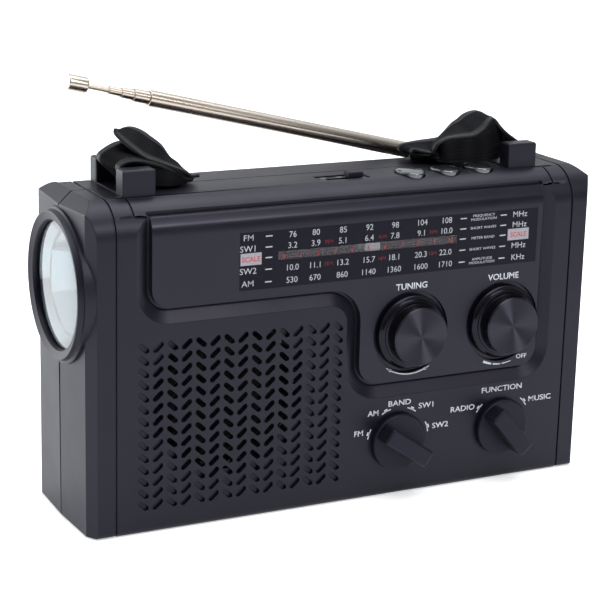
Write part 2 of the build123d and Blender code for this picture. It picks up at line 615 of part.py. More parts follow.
# ---- torch -------------------------------------------------------------------------------
def torch():
    x0 = TORCH_FACE
    ring = rod_x((0, TORCH_Z), TORCH_R, (x0, -LENGTH / 2 - 0.6))
    ring = chamfer(ring.edges().sort_by(Axis.X)[0], 0.7)
    ring += rod_x((0, TORCH_Z), TORCH_R - 3.5, (x0 + 1, -111))
    ring -= rod_x((0, TORCH_Z), TORCH_R - 5.0, (x0 - 1, -105))
    ring -= rod_x((0, TORCH_Z), TORCH_R - 4.2, (x0 + 2.6, -105))
    lens = rod_x((0, TORCH_Z), TORCH_R - 4.2, (x0 + 2.6, x0 + 4.4))
    flange = rod_x((0, TORCH_Z), TORCH_R - 4.2, (x0 + 4.4, x0 + 6.0))
    depth = 24.0
    bowl = paraboloid(TORCH_R - 5.0, 5.0, depth)
    bowl -= Pos(-0.1, 0, 0) * paraboloid(TORCH_R - 6.2, 3.4, depth + 0.2)
    bowl = Pos(x0 + 4.4, 0, TORCH_Z) * bowl
    flange -= rod_x((0, TORCH_Z), TORCH_R - 5.4, (x0, -100))
    led_x = x0 + 4.4 + depth
    led = rod_x((0, TORCH_Z), 2.5, (led_x - 6, led_x + 0.4)) + Pos(led_x - 6, 0, TORCH_Z) * Sphere(2.5)
    board = block((led_x + 0.4, led_x + 2.0), (-10, 10), (TORCH_Z - 10, TORCH_Z + 10))
    save("torch_ring", ring)
    save("torch_lens", lens)
    save("torch_reflector", flange + bowl)
    save("torch_led_board", led, board)


def paraboloid(r_mouth, r_back, depth):
    """Solid of revolution along +X: mouth at x = 0, narrow end at x = depth."""
    focus = (r_mouth ** 2 - r_back ** 2) / depth
    points = [(depth * t, (r_mouth ** 2 - focus * depth * t) ** 0.5) for t in (0, 0.3, 0.6, 0.85, 1)]
    curve = Spline(*points)
    sides = Polyline((depth, r_back), (depth, 0), (0, 0), (0, r_mouth))
    return revolve(make_face((curve + sides).edges()), Axis.X)


# ---- power, sockets, boards --------------------------------------------------------------
def power():
    lo = -BAY_X + 0.5 + 4.7
    cells = [(lo + k * CELL_LENGTH, lo + (k + 1) * CELL_LENGTH) for k in range(3)]
    cans = []
    for a, b in cells:
        can = rod_x((CELL_Y, CELL_Z), CELL_R - 0.2, (a, b - 1.5))
        can += rod_x((CELL_Y, CELL_Z), 4.8, (b - 1.6, b))
        cans.append(fillet(can.edges().filter_by(GeomType.CIRCLE).sort_by(Axis.X)[0], 1.0))
    save("battery_cells", *cans)
    plates = [block((x, x + 0.5), (CELL_Y - 9, CELL_Y + 9), (CELL_Z - 9, CELL_Z + 9))
              for x in (-BAY_X, cells[-1][1])]
    turns, pitch = 3, 4.7 / 3.2
    path = Pos(-BAY_X + 0.8, CELL_Y, CELL_Z) * Rot(0, 90, 0) * Helix(pitch, pitch * turns - 0.4, 6.0)
    coil = sweep(Plane(path @ 0, z_dir=path % 0) * Circle(0.35), path)
    save("battery_contacts", *plates, coil)
    foot = DOOR_HINGE[1] - DOOR_THICK / 2
    door = block((-BAY_X - 1, BAY_X + 1), (BACK - DOOR_THICK, BACK), (foot, BAY_Z[1] + 1.4))
    door = fillet(door.edges().filter_by(Axis.X).group_by(Axis.Z)[0], DOOR_THICK / 2 - 0.01)
    door -= [block((k * 5 - 0.6, k * 5 + 0.6), (BACK - 0.6, BACK + 1), (26, 37)) for k in range(-4, 5)]
    door += rod_x(DOOR_HINGE, DOOR_PIN_R, (-BAY_X - 2.6, BAY_X + 2.6))
    save("battery_door", door)


def sockets():
    cx, cz = sum(INLET_X) / 2, sum(INLET_Z) / 2
    housing_x, housing_z = [(lo + 0.1, hi - 0.1) for lo, hi in (INLET_X, INLET_Z)]
    housing = block(housing_x, (BACK - 16, BACK - 0.1), housing_z)
    housing -= prism_y(Pos(cx, cz) * SlotOverall(14.6, 8.0), (BACK - 13, BACK + 1))
    pins = [rod_y((cx + s * 4.3, cz), 1.2, (BACK - 18, BACK - 4.6)) for s in (-1, 1)]
    housing -= pins
    save("mains_inlet", housing, *pins)
    dc = rod_y((DC_X, SOCKET_Z), 4.0, (BACK - 14, BACK))
    dc -= rod_y((DC_X, SOCKET_Z), 2.8, (BACK - 10, BACK + 1))
    dc += rod_y((DC_X, SOCKET_Z), 1.0, (BACK - 11, BACK - 1))
    phone = rod_y((PHONE_X, SOCKET_Z), 3.0, (BACK - 14, BACK))
    phone -= rod_y((PHONE_X, SOCKET_Z), 1.8, (BACK - 13, BACK + 1))
    save("round_sockets", dc, phone)
    usb = block((USB_X - 7.3, USB_X + 7.3), (BACK - 14, BACK), (SOCKET_Z - 3.3, SOCKET_Z + 3.3))
    usb -= block((USB_X - 6.2, USB_X + 6.2), (BACK - 13, BACK + 1), (SOCKET_Z - 2.3, SOCKET_Z + 2.3))
    usb += block((USB_X - 5.6, USB_X + 5.6), (BACK - 13.5, BACK - 0.6), (SOCKET_Z, SOCKET_Z + 1.9))
    save("usb_socket", usb)
    socket_board = block((0, 82), (BACK - 20, BACK - 18.4), (56, 80))
    save("socket_board", socket_board)


def boards():
    save("main_board", block((-78, 100), BOARD_Y, (58, 106)) - [
        block((-2, 83), (7, 11), (54, 82))])
    ferrite = rod_x((17, 114), 4.5, (-70, 60))
    coil = rod_x((17, 114), 6.0, (-60, -38)) - rod_x((17, 114), 4.5, (-71, 61))
    save("ferrite_aerial", ferrite, coil)
    screws = []
    for p in SCREW_POINTS:
        head = rod_y(p, 2.8, (SCREW_HEAD_Y, SCREW_HEAD_Y + 2))
        screws.append(head + rod_y(p, 1.3, (-9, SCREW_HEAD_Y + 0.1)))
    save("cabinet_screws", *screws)


def main():
    os.makedirs("parts", exist_ok=True)
    save("front_cabinet", front_cabinet())
    save("rear_cabinet", rear_cabinet())
    save("speaker_grille", speaker_grille())
    save("dial_panel", dial_panel())
    speaker()
    dial()
    tuning_drive()
    controls()
    top_controls()
    strap_brackets()
    save("strap", strap())
    antenna()
    torch()
    power()
    sockets()
    boards()


main()
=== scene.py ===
"""Portable emergency radio: moulded shells, dial printing, turned knobs, torch, webbing strap and studio."""

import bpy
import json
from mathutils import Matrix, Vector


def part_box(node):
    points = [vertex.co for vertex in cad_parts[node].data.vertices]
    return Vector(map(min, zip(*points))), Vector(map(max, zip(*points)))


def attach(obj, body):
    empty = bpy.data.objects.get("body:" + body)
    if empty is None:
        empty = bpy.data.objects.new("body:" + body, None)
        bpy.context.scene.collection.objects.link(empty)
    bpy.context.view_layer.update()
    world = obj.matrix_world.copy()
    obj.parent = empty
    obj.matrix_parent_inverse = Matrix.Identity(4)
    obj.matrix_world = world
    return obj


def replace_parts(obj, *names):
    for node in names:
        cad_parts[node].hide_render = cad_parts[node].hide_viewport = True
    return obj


bl_info = {
    "name": "Portable Radio Finish",
    "version": (1, 0, 0),
    "blender": (4, 5, 0),
    "location": "3D View > Sidebar > Radio",
    "description": "Finishes the packed radio: shells, dial, knobs, grille, antenna, torch and strap",
    "category": "Object",
}

import json
from math import cos, hypot, pi, radians, sin

import bmesh
import bpy
from bpy.props import FloatProperty, FloatVectorProperty, IntProperty
from mathutils import Matrix, Vector

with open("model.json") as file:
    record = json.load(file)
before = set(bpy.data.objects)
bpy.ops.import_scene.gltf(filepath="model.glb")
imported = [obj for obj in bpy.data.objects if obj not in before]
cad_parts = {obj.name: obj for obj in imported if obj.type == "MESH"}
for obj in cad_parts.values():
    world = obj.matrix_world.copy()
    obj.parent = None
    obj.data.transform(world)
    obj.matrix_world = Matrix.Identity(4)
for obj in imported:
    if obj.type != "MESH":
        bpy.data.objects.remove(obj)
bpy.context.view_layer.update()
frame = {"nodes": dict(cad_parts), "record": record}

MM = 0.001
MERGE = 2e-6             # doubles closer than this are one corner
FLAT = radians(0.4)      # faces that meet at less than this are one flat
CORNER = radians(19)     # an edge sharper than this is a corner of the moulding
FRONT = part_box("front_cabinet")[0].y
PANEL_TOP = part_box("dial_panel")[1].z
SCALE_LOW, SCALE_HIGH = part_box("dial_scale")
STRIP_LOW, STRIP_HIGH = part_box("dial_window")
GRILLE_LOW, GRILLE_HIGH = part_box("speaker_grille")
SLOTS = {part["node"]: part["material_slot"] for part in frame["record"]["subparts"]}


def middle(node):
    """Centre of a node's box."""
    low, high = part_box(node)
    return (low + high) / 2


def mm(*values):
    return Vector([value * MM for value in values])


# ---- colours and nodes -------------------------------------------------------------------
def hex_linear(code):
    """sRGB hex value as linear red, green, blue and alpha."""
    channels = [int(code[k:k + 2], 16) / 255 for k in (1, 3, 5)]
    return tuple(c / 12.92 if c <= 0.04045 else ((c + 0.055) / 1.055) ** 2.4 for c in channels) + (1.0,)


def add(tree, kind, inputs=None, **properties):
    """Add one node with its properties, and set or link its inputs."""
    made = tree.nodes.new(kind)
    for name, value in properties.items():
        setattr(made, name, value)
    for socket, value in (inputs or {}).items():
        if isinstance(value, bpy.types.NodeSocket):
            tree.links.new(value, made.inputs[socket])
        else:
            made.inputs[socket].default_value = value
    return made


def blank_finish(name, inputs):
    """Material with one Principled shader whose constant inputs are set on it."""
    material = bpy.data.materials.new(name)
    material.use_nodes = True
    tree = material.node_tree
    tree.nodes.clear()
    shader = add(tree, "ShaderNodeBsdfPrincipled", inputs)
    add(tree, "ShaderNodeOutputMaterial", {"Surface": shader.outputs["BSDF"]})
    return material, tree, shader


def two_tones(tree, shader, factor, dark, light):
    """Base colour runs between two tones as the factor does from 0 to 1."""
    tone = add(tree, "ShaderNodeMix", {"Factor": factor}, data_type="RGBA")
    tone.inputs[6].default_value = hex_linear(dark)
    tone.inputs[7].default_value = hex_linear(light)
    tree.links.new(tone.outputs[2], shader.inputs["Base Color"])


def rough_between(tree, shader, factor, low, high, start=0.0, end=1.0):
    """Roughness runs from low to high as the factor does from start to end."""
    rough = add(tree, "ShaderNodeMapRange", {
        "Value": factor, "From Min": start, "From Max": end, "To Min": low, "To Max": high})
    tree.links.new(rough.outputs["Result"], shader.inputs["Roughness"])


def emboss(tree, shader, height, depth, strength=1.0):
    """Let a height pattern raise the surface by up to depth mm."""
    bump = add(tree, "ShaderNodeBump", {"Height": height, "Strength": strength, "Distance": depth * MM})
    tree.links.new(bump.outputs["Normal"], shader.inputs["Normal"])


def tone_and_grain(tree, shader, tones, roughness, patch=8.0, grain=0.5, depth=0.01, stretch=(1, 1, 1)):
    """Tone and roughness drift over patch mm, and a fine grain of the given mm gives the bump."""
    place = add(tree, "ShaderNodeTexCoord").outputs["Object"]
    place = add(tree, "ShaderNodeMapping", {"Vector": place, "Scale": stretch}).outputs["Vector"]
    drift = add(tree, "ShaderNodeTexNoise", {"Vector": place, "Scale": 1 / (patch * MM), "Detail": 3.0})
    two_tones(tree, shader, drift.outputs["Fac"], *tones)
    rough_between(tree, shader, drift.outputs["Fac"], *roughness, 0.3, 0.7)
    fine = add(tree, "ShaderNodeTexNoise", {"Vector": place, "Scale": 1 / (grain * MM), "Detail": 2.0})
    emboss(tree, shader, fine.outputs["Fac"], depth)


# ---- finishes ----------------------------------------------------------------------------
def plastic(ior, level, tint="#ffffff", **others):
    """Shader inputs of a plastic: how strongly it mirrors, and in what tint."""
    return {"IOR": ior, "Specular IOR Level": level, "Specular Tint": hex_linear(tint), **others}


METAL = {"Metallic": 1.0}
# material slot -> real material, shader inputs, two tones, roughness range, drift and grain sizes in mm
PLAIN_FINISHES = {
    # charcoal ABS from a spark-eroded mould: satin, with a faint fine grain and broad soft highlights
    "cabinet": ("moulded_charcoal_abs", plastic(1.53, 0.25, "#eceaff"), ("#0b0a12", "#0f0e16"), (0.38, 0.44),
                {"patch": 25, "grain": 0.45, "depth": 0.006}),
    # polished part of the same ABS on the dial panel: a little glossier and cleaner
    "panel": ("polished_charcoal_abs", plastic(1.53, 0.25, "#eceaff"), ("#0e0d16", "#12111a"), (0.30, 0.35),
              {"patch": 25, "grain": 0.6, "depth": 0.003}),
    # black ABS from a polished mould: sharp highlights with slight waviness
    "knob_gloss": ("gloss_black_abs", plastic(1.53, 0.2, "#e6e4ff"), ("#08070b", "#0b0a0e"), (0.16, 0.22),
                   {"patch": 9, "grain": 4.0}),
    # fine-textured black ABS of the selector knobs: matt with a light grain
    "knob_matt": ("fine_textured_abs", plastic(1.53, 0.2, "#e0e2ff"), ("#0f0f16", "#13131a"), (0.42, 0.50),
                  {"patch": 25, "grain": 0.35, "depth": 0.012}),
    # black ABS button caps, polished by fingers: they mirror the bright wall behind
    "button": ("polished_button_abs", plastic(1.53, 1.0, **{"Coat Weight": 0.6}), ("#0b0b0f", "#0f0f13"),
               (0.22, 0.30), {"patch": 9, "grain": 4.0}),
    # black printed polyester film of the dial: even and slightly silky
    "dial_print": ("printed_black_film", plastic(1.5, 0.13, "#e6e4ff"), ("#0b0a10", "#0e0d13"), (0.34, 0.40),
                   {"patch": 25, "grain": 0.3, "depth": 0.002}),
    # smoked acrylic window of the pointer track: clear enough to show the pointer behind it
    "dial_strip": ("smoked_acrylic", plastic(1.49, 0.4, Alpha=0.32), ("#4f4b50", "#5e5a5f"), (0.3, 0.36),
                   {"patch": 30, "grain": 1.2, "depth": 0.002}),
    # nickel-plated brass tube, drawn and polished: warm mirror with faint lines along it
    "chrome": ("nickel_plated_tube", METAL, ("#b3a79b", "#c4b8ab"), (0.22, 0.30),
               {"patch": 14, "depth": 0.002, "stretch": (0.08, 1, 1)}),
    # zinc-plated steel of screws, pins and shafts: dull silver with a cloudy bloom
    "steel": ("zinc_plated_steel", METAL, ("#9a9a9c", "#b4b3b2"), (0.28, 0.38),
              {"patch": 3, "grain": 0.3, "depth": 0.004}),
    # turned brass: warm yellow with fine turning lines
    "brass": ("turned_brass", METAL, ("#b89352", "#caa765"), (0.22, 0.3),
              {"patch": 4, "grain": 0.25, "depth": 0.004}),
    # plain woven border of the webbing: smoother, catching more light than the ribs, and its tones painted
    # lighter than the ribs' as a painted highlight
    "selvedge": ("nylon_selvedge_painted_highlight", plastic(1.53, 0.16, **{"Sheen Weight": 0.03, "Sheen Roughness": 0.35}),
                 ("#0b0b0f", "#141418"), (0.4, 0.5), {"patch": 1.2, "grain": 0.35, "depth": 0.03}),
    # black plate under the slide switch: flat and a little silky
    "switch_label": ("black_label_plate", {}, ("#121115", "#19181c"), (0.3, 0.4), {"grain": 0.3}),
    # hidden parts: two close tones of the real material, and its roughness
    "led": ("epoxy_lamp", {}, ("#e6e4c8", "#f2f0da"), (0.1, 0.2), {"grain": 0.4, "depth": 0.005}),
    "inner_plastic": ("moulded_phenolic", {}, ("#1c1b1e", "#242326"), (0.45, 0.6), {}),
    "ferrite": ("sintered_ferrite", {}, ("#2b2829", "#393536"), (0.5, 0.7), {"grain": 0.2}),
    "speaker_steel": ("pressed_steel", METAL, ("#7c7d80", "#8e8f92"), (0.35, 0.45), {}),
    "paper": ("pressed_paper_cone", {}, ("#121113", "#1c1b1d"), (0.8, 0.95), {"grain": 0.8, "depth": 0.05}),
    "cell": ("printed_cell_sleeve", {}, ("#3b4350", "#444d5c"), (0.25, 0.35), {"grain": 2.0}),
}
# screen-printed ink and the white plastic of the pointer: matt and opaque, with slightly uneven cover
INKS = {
    "pointer": ("white_pointer_plastic", "#f2f2f4", "#fafafa"),
    "white_ink": ("white_screen_ink", "#b4b6bb", "#c6c8cc"),
    "red_ink": ("red_screen_ink", "#a52a33", "#bb3a42"),
    "dull_red_ink": ("red_screen_ink_thin", "#5f181f", "#6e1f27"),
    "grey_ink": ("grey_screen_ink", "#989a9f", "#a8aaae"),
    "strip_ink": ("red_screen_ink_on_acrylic", "#86262e", "#962e36"),
    "label_ink": ("grey_label_ink", "#878288", "#938f95"),
}
for slot, (ink_name, dark, light) in INKS.items():
    PLAIN_FINISHES[slot] = (ink_name, plastic(1.5, 0.3), (dark, light), (0.5, 0.6),
                            {"patch": 1.5, "grain": 0.2, "depth": 0.002})


def spun_cap():
    """Dark anodised aluminium turned on a lathe: rings spread the light into wedges."""
    material, tree, shader = blank_finish("turned_dark_anodised", {
        "Metallic": 1.0, "Anisotropic": 1.0, "Anisotropic Rotation": 0.25})
    place = add(tree, "ShaderNodeUVMap", uv_map="turning").outputs["UV"]
    radius = add(tree, "ShaderNodeSeparateXYZ", {"Vector": place}).outputs["Y"]
    # turning marks 0.3 mm apart, coarser than real ones so that they show
    ring = add(tree, "ShaderNodeTexNoise", {"W": radius, "Scale": 3.4}, noise_dimensions="1D")
    two_tones(tree, shader, ring.outputs["Fac"], "#2c2b32", "#3e3d45")
    rough_between(tree, shader, ring.outputs["Fac"], 0.40, 0.48)
    along = add(tree, "ShaderNodeTangent", direction_type="UV_MAP", uv_map="turning")
    tree.links.new(along.outputs["Tangent"], shader.inputs["Tangent"])
    return material


def clear_polycarbonate():
    """Clear polycarbonate torch lens: glass-like with soft moulding waves."""
    material, tree, shader = blank_finish("clear_polycarbonate", {
        "Base Color": hex_linear("#d3dade"), "IOR": 1.58, "Transmission Weight": 1.0, "Roughness": 0.02})
    place = add(tree, "ShaderNodeTexCoord").outputs["Object"]
    wave = add(tree, "ShaderNodeTexNoise", {"Vector": place, "Scale": 90.0})
    emboss(tree, shader, wave.outputs["Fac"], 0.02)
    return material


def metallised_plastic():
    """Vacuum-metallised reflector: bright mirror whose thin coat tints pink, blue and green in patches."""
    material, tree, shader = blank_finish("vacuum_metallised_plastic", METAL)
    place = add(tree, "ShaderNodeTexCoord").outputs["Object"]
    patch = add(tree, "ShaderNodeTexNoise", {"Vector": place, "Scale": 1 / (16 * MM), "Detail": 1.0})
    rough_between(tree, shader, patch.outputs["Fac"], 0.05, 0.12)
    tint = add(tree, "ShaderNodeValToRGB", {"Fac": patch.outputs["Fac"]})
    ramp = tint.color_ramp
    for end, position, code in ((0, 0.3, "#a2a7ac"), (1, 0.7, "#aca2a4")):
        ramp.elements[end].position = position
        ramp.elements[end].color = hex_linear(code)
    for position, code in ((0.42, "#97a8ab"), (0.52, "#a9a9a2"), (0.6, "#aa9faa")):
        ramp.elements.new(position).color = hex_linear(code)
    tree.links.new(tint.outputs["Color"], shader.inputs["Base Color"])
    return material


def nylon_webbing():
    """Black nylon webbing, 21 mm: ribbed middle, plain woven borders, a soft sheen on the raised threads."""
    material, tree, shader = blank_finish("black_nylon_webbing", {
        "IOR": 1.53, "Specular IOR Level": 0.08, "Sheen Weight": 0.02, "Sheen Roughness": 0.4})
    place = add(tree, "ShaderNodeUVMap", uv_map="weave").outputs["UV"]
    # waves 8.8 mm apart along the band, far coarser than real cross threads
    scale_1_period = pi / 10
    picks = add(tree, "ShaderNodeTexWave", {
        "Vector": place, "Scale": scale_1_period / (8.8 * MM), "Distortion": 1.2, "Detail": 1.0,
        "Detail Scale": 2.0},
        wave_type="BANDS", bands_direction="X", wave_profile="SIN")
    fuzz = add(tree, "ShaderNodeTexNoise", {"Vector": place, "Scale": 1 / (0.5 * MM), "Detail": 2.0})
    threads_and_painted_sheen = add(tree, "ShaderNodeMath", {0: picks.outputs["Fac"], 1: fuzz.outputs["Fac"]},
                  operation="MULTIPLY")
    # the raised threads are painted lighter and the hollows between them darker: painted sheen and painted
    # shade on the weave
    two_tones(tree, shader, threads_and_painted_sheen.outputs["Value"], "#040406", "#131217")
    rough_between(tree, shader, fuzz.outputs["Fac"], 0.55, 0.75)
    emboss(tree, shader, threads_and_painted_sheen.outputs["Value"], 0.18, 0.9)
    return material


def circuit_board():
    """Green solder mask over copper tracks: glossy lacquer with a raised track pattern."""
    material, tree, shader = blank_finish("green_circuit_board", {"IOR": 1.5})
    place = add(tree, "ShaderNodeTexCoord").outputs["Object"]
    tracks = add(tree, "ShaderNodeTexBrick", {
        "Vector": place, "Color1": hex_linear("#14502e"), "Color2": hex_linear("#17593a"),
        "Mortar": hex_linear("#2c7a4a"), "Scale": 110.0, "Mortar Size": 0.03})
    rough_between(tree, shader, tracks.outputs["Fac"], 0.3, 0.45)
    tree.links.new(tracks.outputs["Color"], shader.inputs["Base Color"])
    emboss(tree, shader, tracks.outputs["Fac"], 0.05)
    return material


SPECIAL_FINISHES = {
    "cap": spun_cap,
    "lens": clear_polycarbonate,
    "reflector": metallised_plastic,
    "webbing": nylon_webbing,
    "board": circuit_board,
}
made_finishes = {}


def finish(slot):
    """The finish of a material slot, made once."""
    if slot not in made_finishes:
        if slot in SPECIAL_FINISHES:
            made = SPECIAL_FINISHES[slot]()
        else:
            name, inputs, tones, roughness, sizes = PLAIN_FINISHES[slot]
            made, tree, shader = blank_finish(name, inputs)
            tone_and_grain(tree, shader, tones, roughness, **sizes)
        made_finishes[slot] = made
    return made_finishes[slot]


# ---- mesh helpers ------------------------------------------------------------------------
def stand(name, data):
    """New object in the scene."""
    made = bpy.data.objects.new(name, data)
    bpy.context.scene.collection.objects.link(made)
    return made


def piece(name, mesh, body, slot, *materials):
    """Stand a finished mesh at the origin and let it ride on a body."""
    made = stand(name, mesh)
    for material in materials:
        mesh.materials.append(finish(material))
    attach(made, body)
    return made


def baked(holder):
    """Plain mesh of an object with its modifiers or curve applied; the object goes."""
    graph = bpy.context.evaluated_depsgraph_get()
    mesh = bpy.data.meshes.new_from_object(
        holder.evaluated_get(graph), preserve_all_data_layers=True, depsgraph=graph)
    bpy.data.objects.remove(holder)
    return mesh


def mesh_from(name, corners, faces):
    mesh = bpy.data.meshes.new(name)
    mesh.from_pydata(corners, [], faces)
    return mesh


def mesh_of(name, work):
    """Mesh from a bmesh that isn't needed any more."""
    mesh = bpy.data.meshes.new(name)
    work.to_mesh(mesh)
    work.free()
    return mesh


def rounded_copy(node, edge, skip=None, shape=None):
    """Mesh of a CAD node with doubles merged, flats joined and its corners rounded by edge mm.

    skip(point) is true where a corner has to stay hard, as where two parts meet flush.
    shape(work) may bend the mesh before its corners are rounded.
    """
    work = bmesh.new()
    work.from_mesh(frame["nodes"][node].data)
    bmesh.ops.remove_doubles(work, verts=work.verts, dist=MERGE)
    bmesh.ops.dissolve_limit(work, angle_limit=FLAT, verts=work.verts, edges=work.edges)
    if shape:
        shape(work)
    weight = work.edges.layers.float.new("bevel_weight_edge")
    for corner in work.edges:
        if len(corner.link_faces) != 2:
            continue
        sharp = corner.calc_face_angle(0) > CORNER
        spot = (corner.verts[0].co + corner.verts[1].co) / 2
        if sharp and corner.is_convex and not (skip and skip(spot)):
            corner[weight] = 1.0
        corner.smooth = not sharp
    for face in work.faces:
        face.smooth = True
        face.material_index = 0
    mesh = mesh_of(node, work)
    holder = stand("rounding", mesh)
    bevel = holder.modifiers.new("edges", "BEVEL")
    bevel.limit_method = "WEIGHT"
    bevel.width = edge * MM
    bevel.segments = 2
    bevel.use_clamp_overlap = False
    bevel.harden_normals = True
    result = baked(holder)
    bpy.data.meshes.remove(mesh)
    return result


def lathe(profile, centre, axis, steps, material_of=None):
    """Surface of revolution through (radius, distance along the axis) points, closed at radius 0.

    The UV map "turning" holds the angle and the radius in mm, so that rings can follow it.
    """
    axis = Vector(axis).normalized()
    side = axis.orthogonal().normalized()
    up = axis.cross(side)
    work = bmesh.new()
    uv = work.loops.layers.uv.new("turning")
    rows = []
    for radius, reach in profile:
        base = centre + axis * reach * MM
        if radius == 0:
            rows.append([work.verts.new(base)] * steps)
            continue
        turns = [2 * pi * k / steps for k in range(steps)]
        rows.append([work.verts.new(base + (side * cos(t) + up * sin(t)) * radius * MM) for t in turns])
    for n, (low, high) in enumerate(zip(rows, rows[1:])):
        for k in range(steps):
            j = (k + 1) % steps
            ring = [low[k], low[j], high[j], high[k]]
            marks = [(k, n), (k + 1, n), (k + 1, n + 1), (k, n + 1)]
            kept = [m for m in range(4) if ring[m] not in ring[:m]]
            face = work.faces.new([ring[m] for m in kept])
            face.smooth = True
            face.material_index = material_of(n) if material_of else 0
            for loop, m in zip(face.loops, kept):
                loop[uv].uv = (marks[m][0] / steps, profile[marks[m][1]][0])
    bmesh.ops.recalc_face_normals(work, faces=work.faces)
    mesh = mesh_of("turned", work)
    mesh.set_sharp_from_angle(angle=radians(35))
    return mesh


def joined(name, meshes):
    """One mesh from several, keeping their material numbers and UV map."""
    work = bmesh.new()
    for mesh in meshes:
        work.from_mesh(mesh)
        bpy.data.meshes.remove(mesh)
    return mesh_of(name, work)


# ---- settings ----------------------------------------------------------------------------
def size(name, description, default):
    """A length setting in mm."""
    return FloatProperty(name=name, description=description + ", in mm", default=default)


def number(name, description, default):
    """A count setting."""
    return IntProperty(name=name, description=description, default=default, min=1)


class RadioShellSettings(bpy.types.PropertyGroup):
    edge: size("Edge rounding", "Radius of the moulded corners", 0.22)
    fine_edge: size("Fine rounding", "Radius on small parts", 0.35)
    cap_edge: size("Cap rounding", "Radius on buttons and strap brackets", 0.5)


class RadioGrilleSettings(bpy.types.PropertyGroup):
    columns: number("Columns", "Slots across the grille", 15)
    rows: number("Rows", "Slots down the grille", 14)
    pitch_x: size("Column spacing", "Distance between columns", 6.164)
    pitch_z: size("Row spacing", "Distance between rows", 5.08)
    slot_length: size("Slot length", "Overall length of a slot", 5.7)
    slot_width: size("Slot width", "Width of a slot", 2.25)
    slot_angle: FloatProperty(
        name="Slot angle", description="Slant of the slots", default=radians(42), subtype="ANGLE")
    open_radius: size("Open radius", "Slots nearer than this to the speaker go through", 34.6)


class RadioDialSettings(bpy.types.PropertyGroup):
    number_height: size("Number height", "Height of the dial numbers", 2.6)
    name_height: size("Name height", "Height of the band names", 1.15)
    label_height: size("Label height", "Height of the control labels", 2.75)
    ink_thickness: size("Ink thickness", "How far ink stands proud", 0.03)


class RadioKnobSettings(bpy.types.PropertyGroup):
    skirt: size("Skirt radius", "Outer radius of the large knobs", 16.2)
    cap: size("Cap radius", "Radius of the turned cap", 12.6)
    height: size("Knob height", "From the panel to the cap", 9.2)


class RadioStrapSettings(bpy.types.PropertyGroup):
    width: size("Webbing width", "Width of the band", 21.0)
    thickness: size("Webbing thickness", "Thickness of the band", 1.3)
    border: size("Border", "Plain woven border on each side", 3.6)
    rib: size("Rib spacing", "Spacing of the lengthwise ribs", 1.5)


class RadioTorchSettings(bpy.types.PropertyGroup):
    facets: number("Facets", "Flat facets round the reflector", 8)
    rings: number("Rings", "Rings of facets", 3)


class RadioStudioSettings(bpy.types.PropertyGroup):
    azimuth: FloatProperty(name="Azimuth", description="Camera turn about Z", default=radians(-26.99),
                           subtype="ANGLE")
    elevation: FloatProperty(name="Elevation", description="Camera height angle", default=radians(15.10),
                             subtype="ANGLE")
    roll: FloatProperty(name="Roll", description="Camera roll", default=radians(1.46), subtype="ANGLE")
    distance: FloatProperty(name="Distance", description="Camera to target", default=0.80016, unit="LENGTH")
    lens: FloatProperty(name="Lens", description="Focal length in mm on a 36 mm sensor", default=112.5)
    floor: FloatVectorProperty(name="Floor colour", description="Pale floor", subtype="COLOR", size=4,
                               default=hex_linear("#f6f6f6"))


# ---- cabinet -----------------------------------------------------------------------------
def meets_flush(point):
    """True on the seam round the grille, where the front meets the slotted field."""
    x, z = point.x, point.z
    near, over = 0.2 * MM, 0.3 * MM
    beside = any(abs(x - side) < near for side in (GRILLE_LOW.x, GRILLE_HIGH.x))
    beside = beside or any(abs(z - side) < near for side in (GRILLE_LOW.z, GRILLE_HIGH.z))
    inside_x = GRILLE_LOW.x - over < x < GRILLE_HIGH.x + over
    inside_z = GRILLE_LOW.z - over < z < GRILLE_HIGH.z + over
    return beside and inside_x and inside_z and point.y < FRONT + 0.5 * MM


def slope_above_dial(work):
    """Let the panel's face curve back from just above the dial up to its top edge."""
    start, top = SCALE_HIGH.z + 0.8 * MM, PANEL_TOP
    fall, thick, steps = 2.2 * MM, 3.0 * MM, 8
    for k in range(steps):
        everything = [*work.verts, *work.edges, *work.faces]
        level = start + (top - start) * k / steps
        bmesh.ops.bisect_plane(work, geom=everything, plane_co=(0, 0, level), plane_no=(0, 0, 1))
    for vert in work.verts:
        rise = (vert.co.z - start) / (top - start)
        share = 1 - (vert.co.y - FRONT) / thick
        if rise > 0 and share > 0:
            vert.co.y += fall * share * rise ** 2


def replace_with_rounded(node, body, edge, finish_name, skip=None, shape=None):
    """Stand a corner-rounded copy in for a CAD node."""
    mesh = rounded_copy(node, edge, skip, shape)
    mesh.materials.clear()
    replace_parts(piece(node + "_moulded", mesh, body, SLOTS[node], finish_name), node)


class RADIO_OT_cabinet(bpy.types.Operator):
    """Round the corners of the cabinet halves, dial panel, brackets and battery door"""
    bl_idname = "radio.cabinet"
    bl_label = "Cabinet shells"

    def execute(self, context):
        shell = context.scene.radio_shell
        replace_with_rounded("front_cabinet", "cabinet", shell.edge, "cabinet", meets_flush)
        replace_with_rounded("rear_cabinet", "cabinet", shell.edge, "cabinet")
        replace_with_rounded("dial_panel", "cabinet", shell.edge, "panel", shape=slope_above_dial)
        for side in ("left", "right"):
            replace_with_rounded("strap_bracket_" + side, "cabinet", shell.cap_edge, "cabinet")
        replace_with_rounded("battery_door", "door", shell.fine_edge, "cabinet")
        return {"FINISHED"}


# ---- grille ------------------------------------------------------------------------------
def slot_outline(length, width, turn, steps=6):
    """Corners of one slanted round-ended slot, in x and z."""
    reach = (length - width) / 2
    points = []
    for side, start in ((1, -pi / 2), (-1, pi / 2)):
        for k in range(steps + 1):
            a = start + pi * k / steps
            points.append((side * reach + width / 2 * cos(a), width / 2 * sin(a)))
    return [(x * cos(turn) - z * sin(turn), x * sin(turn) + z * cos(turn)) for x, z in points]


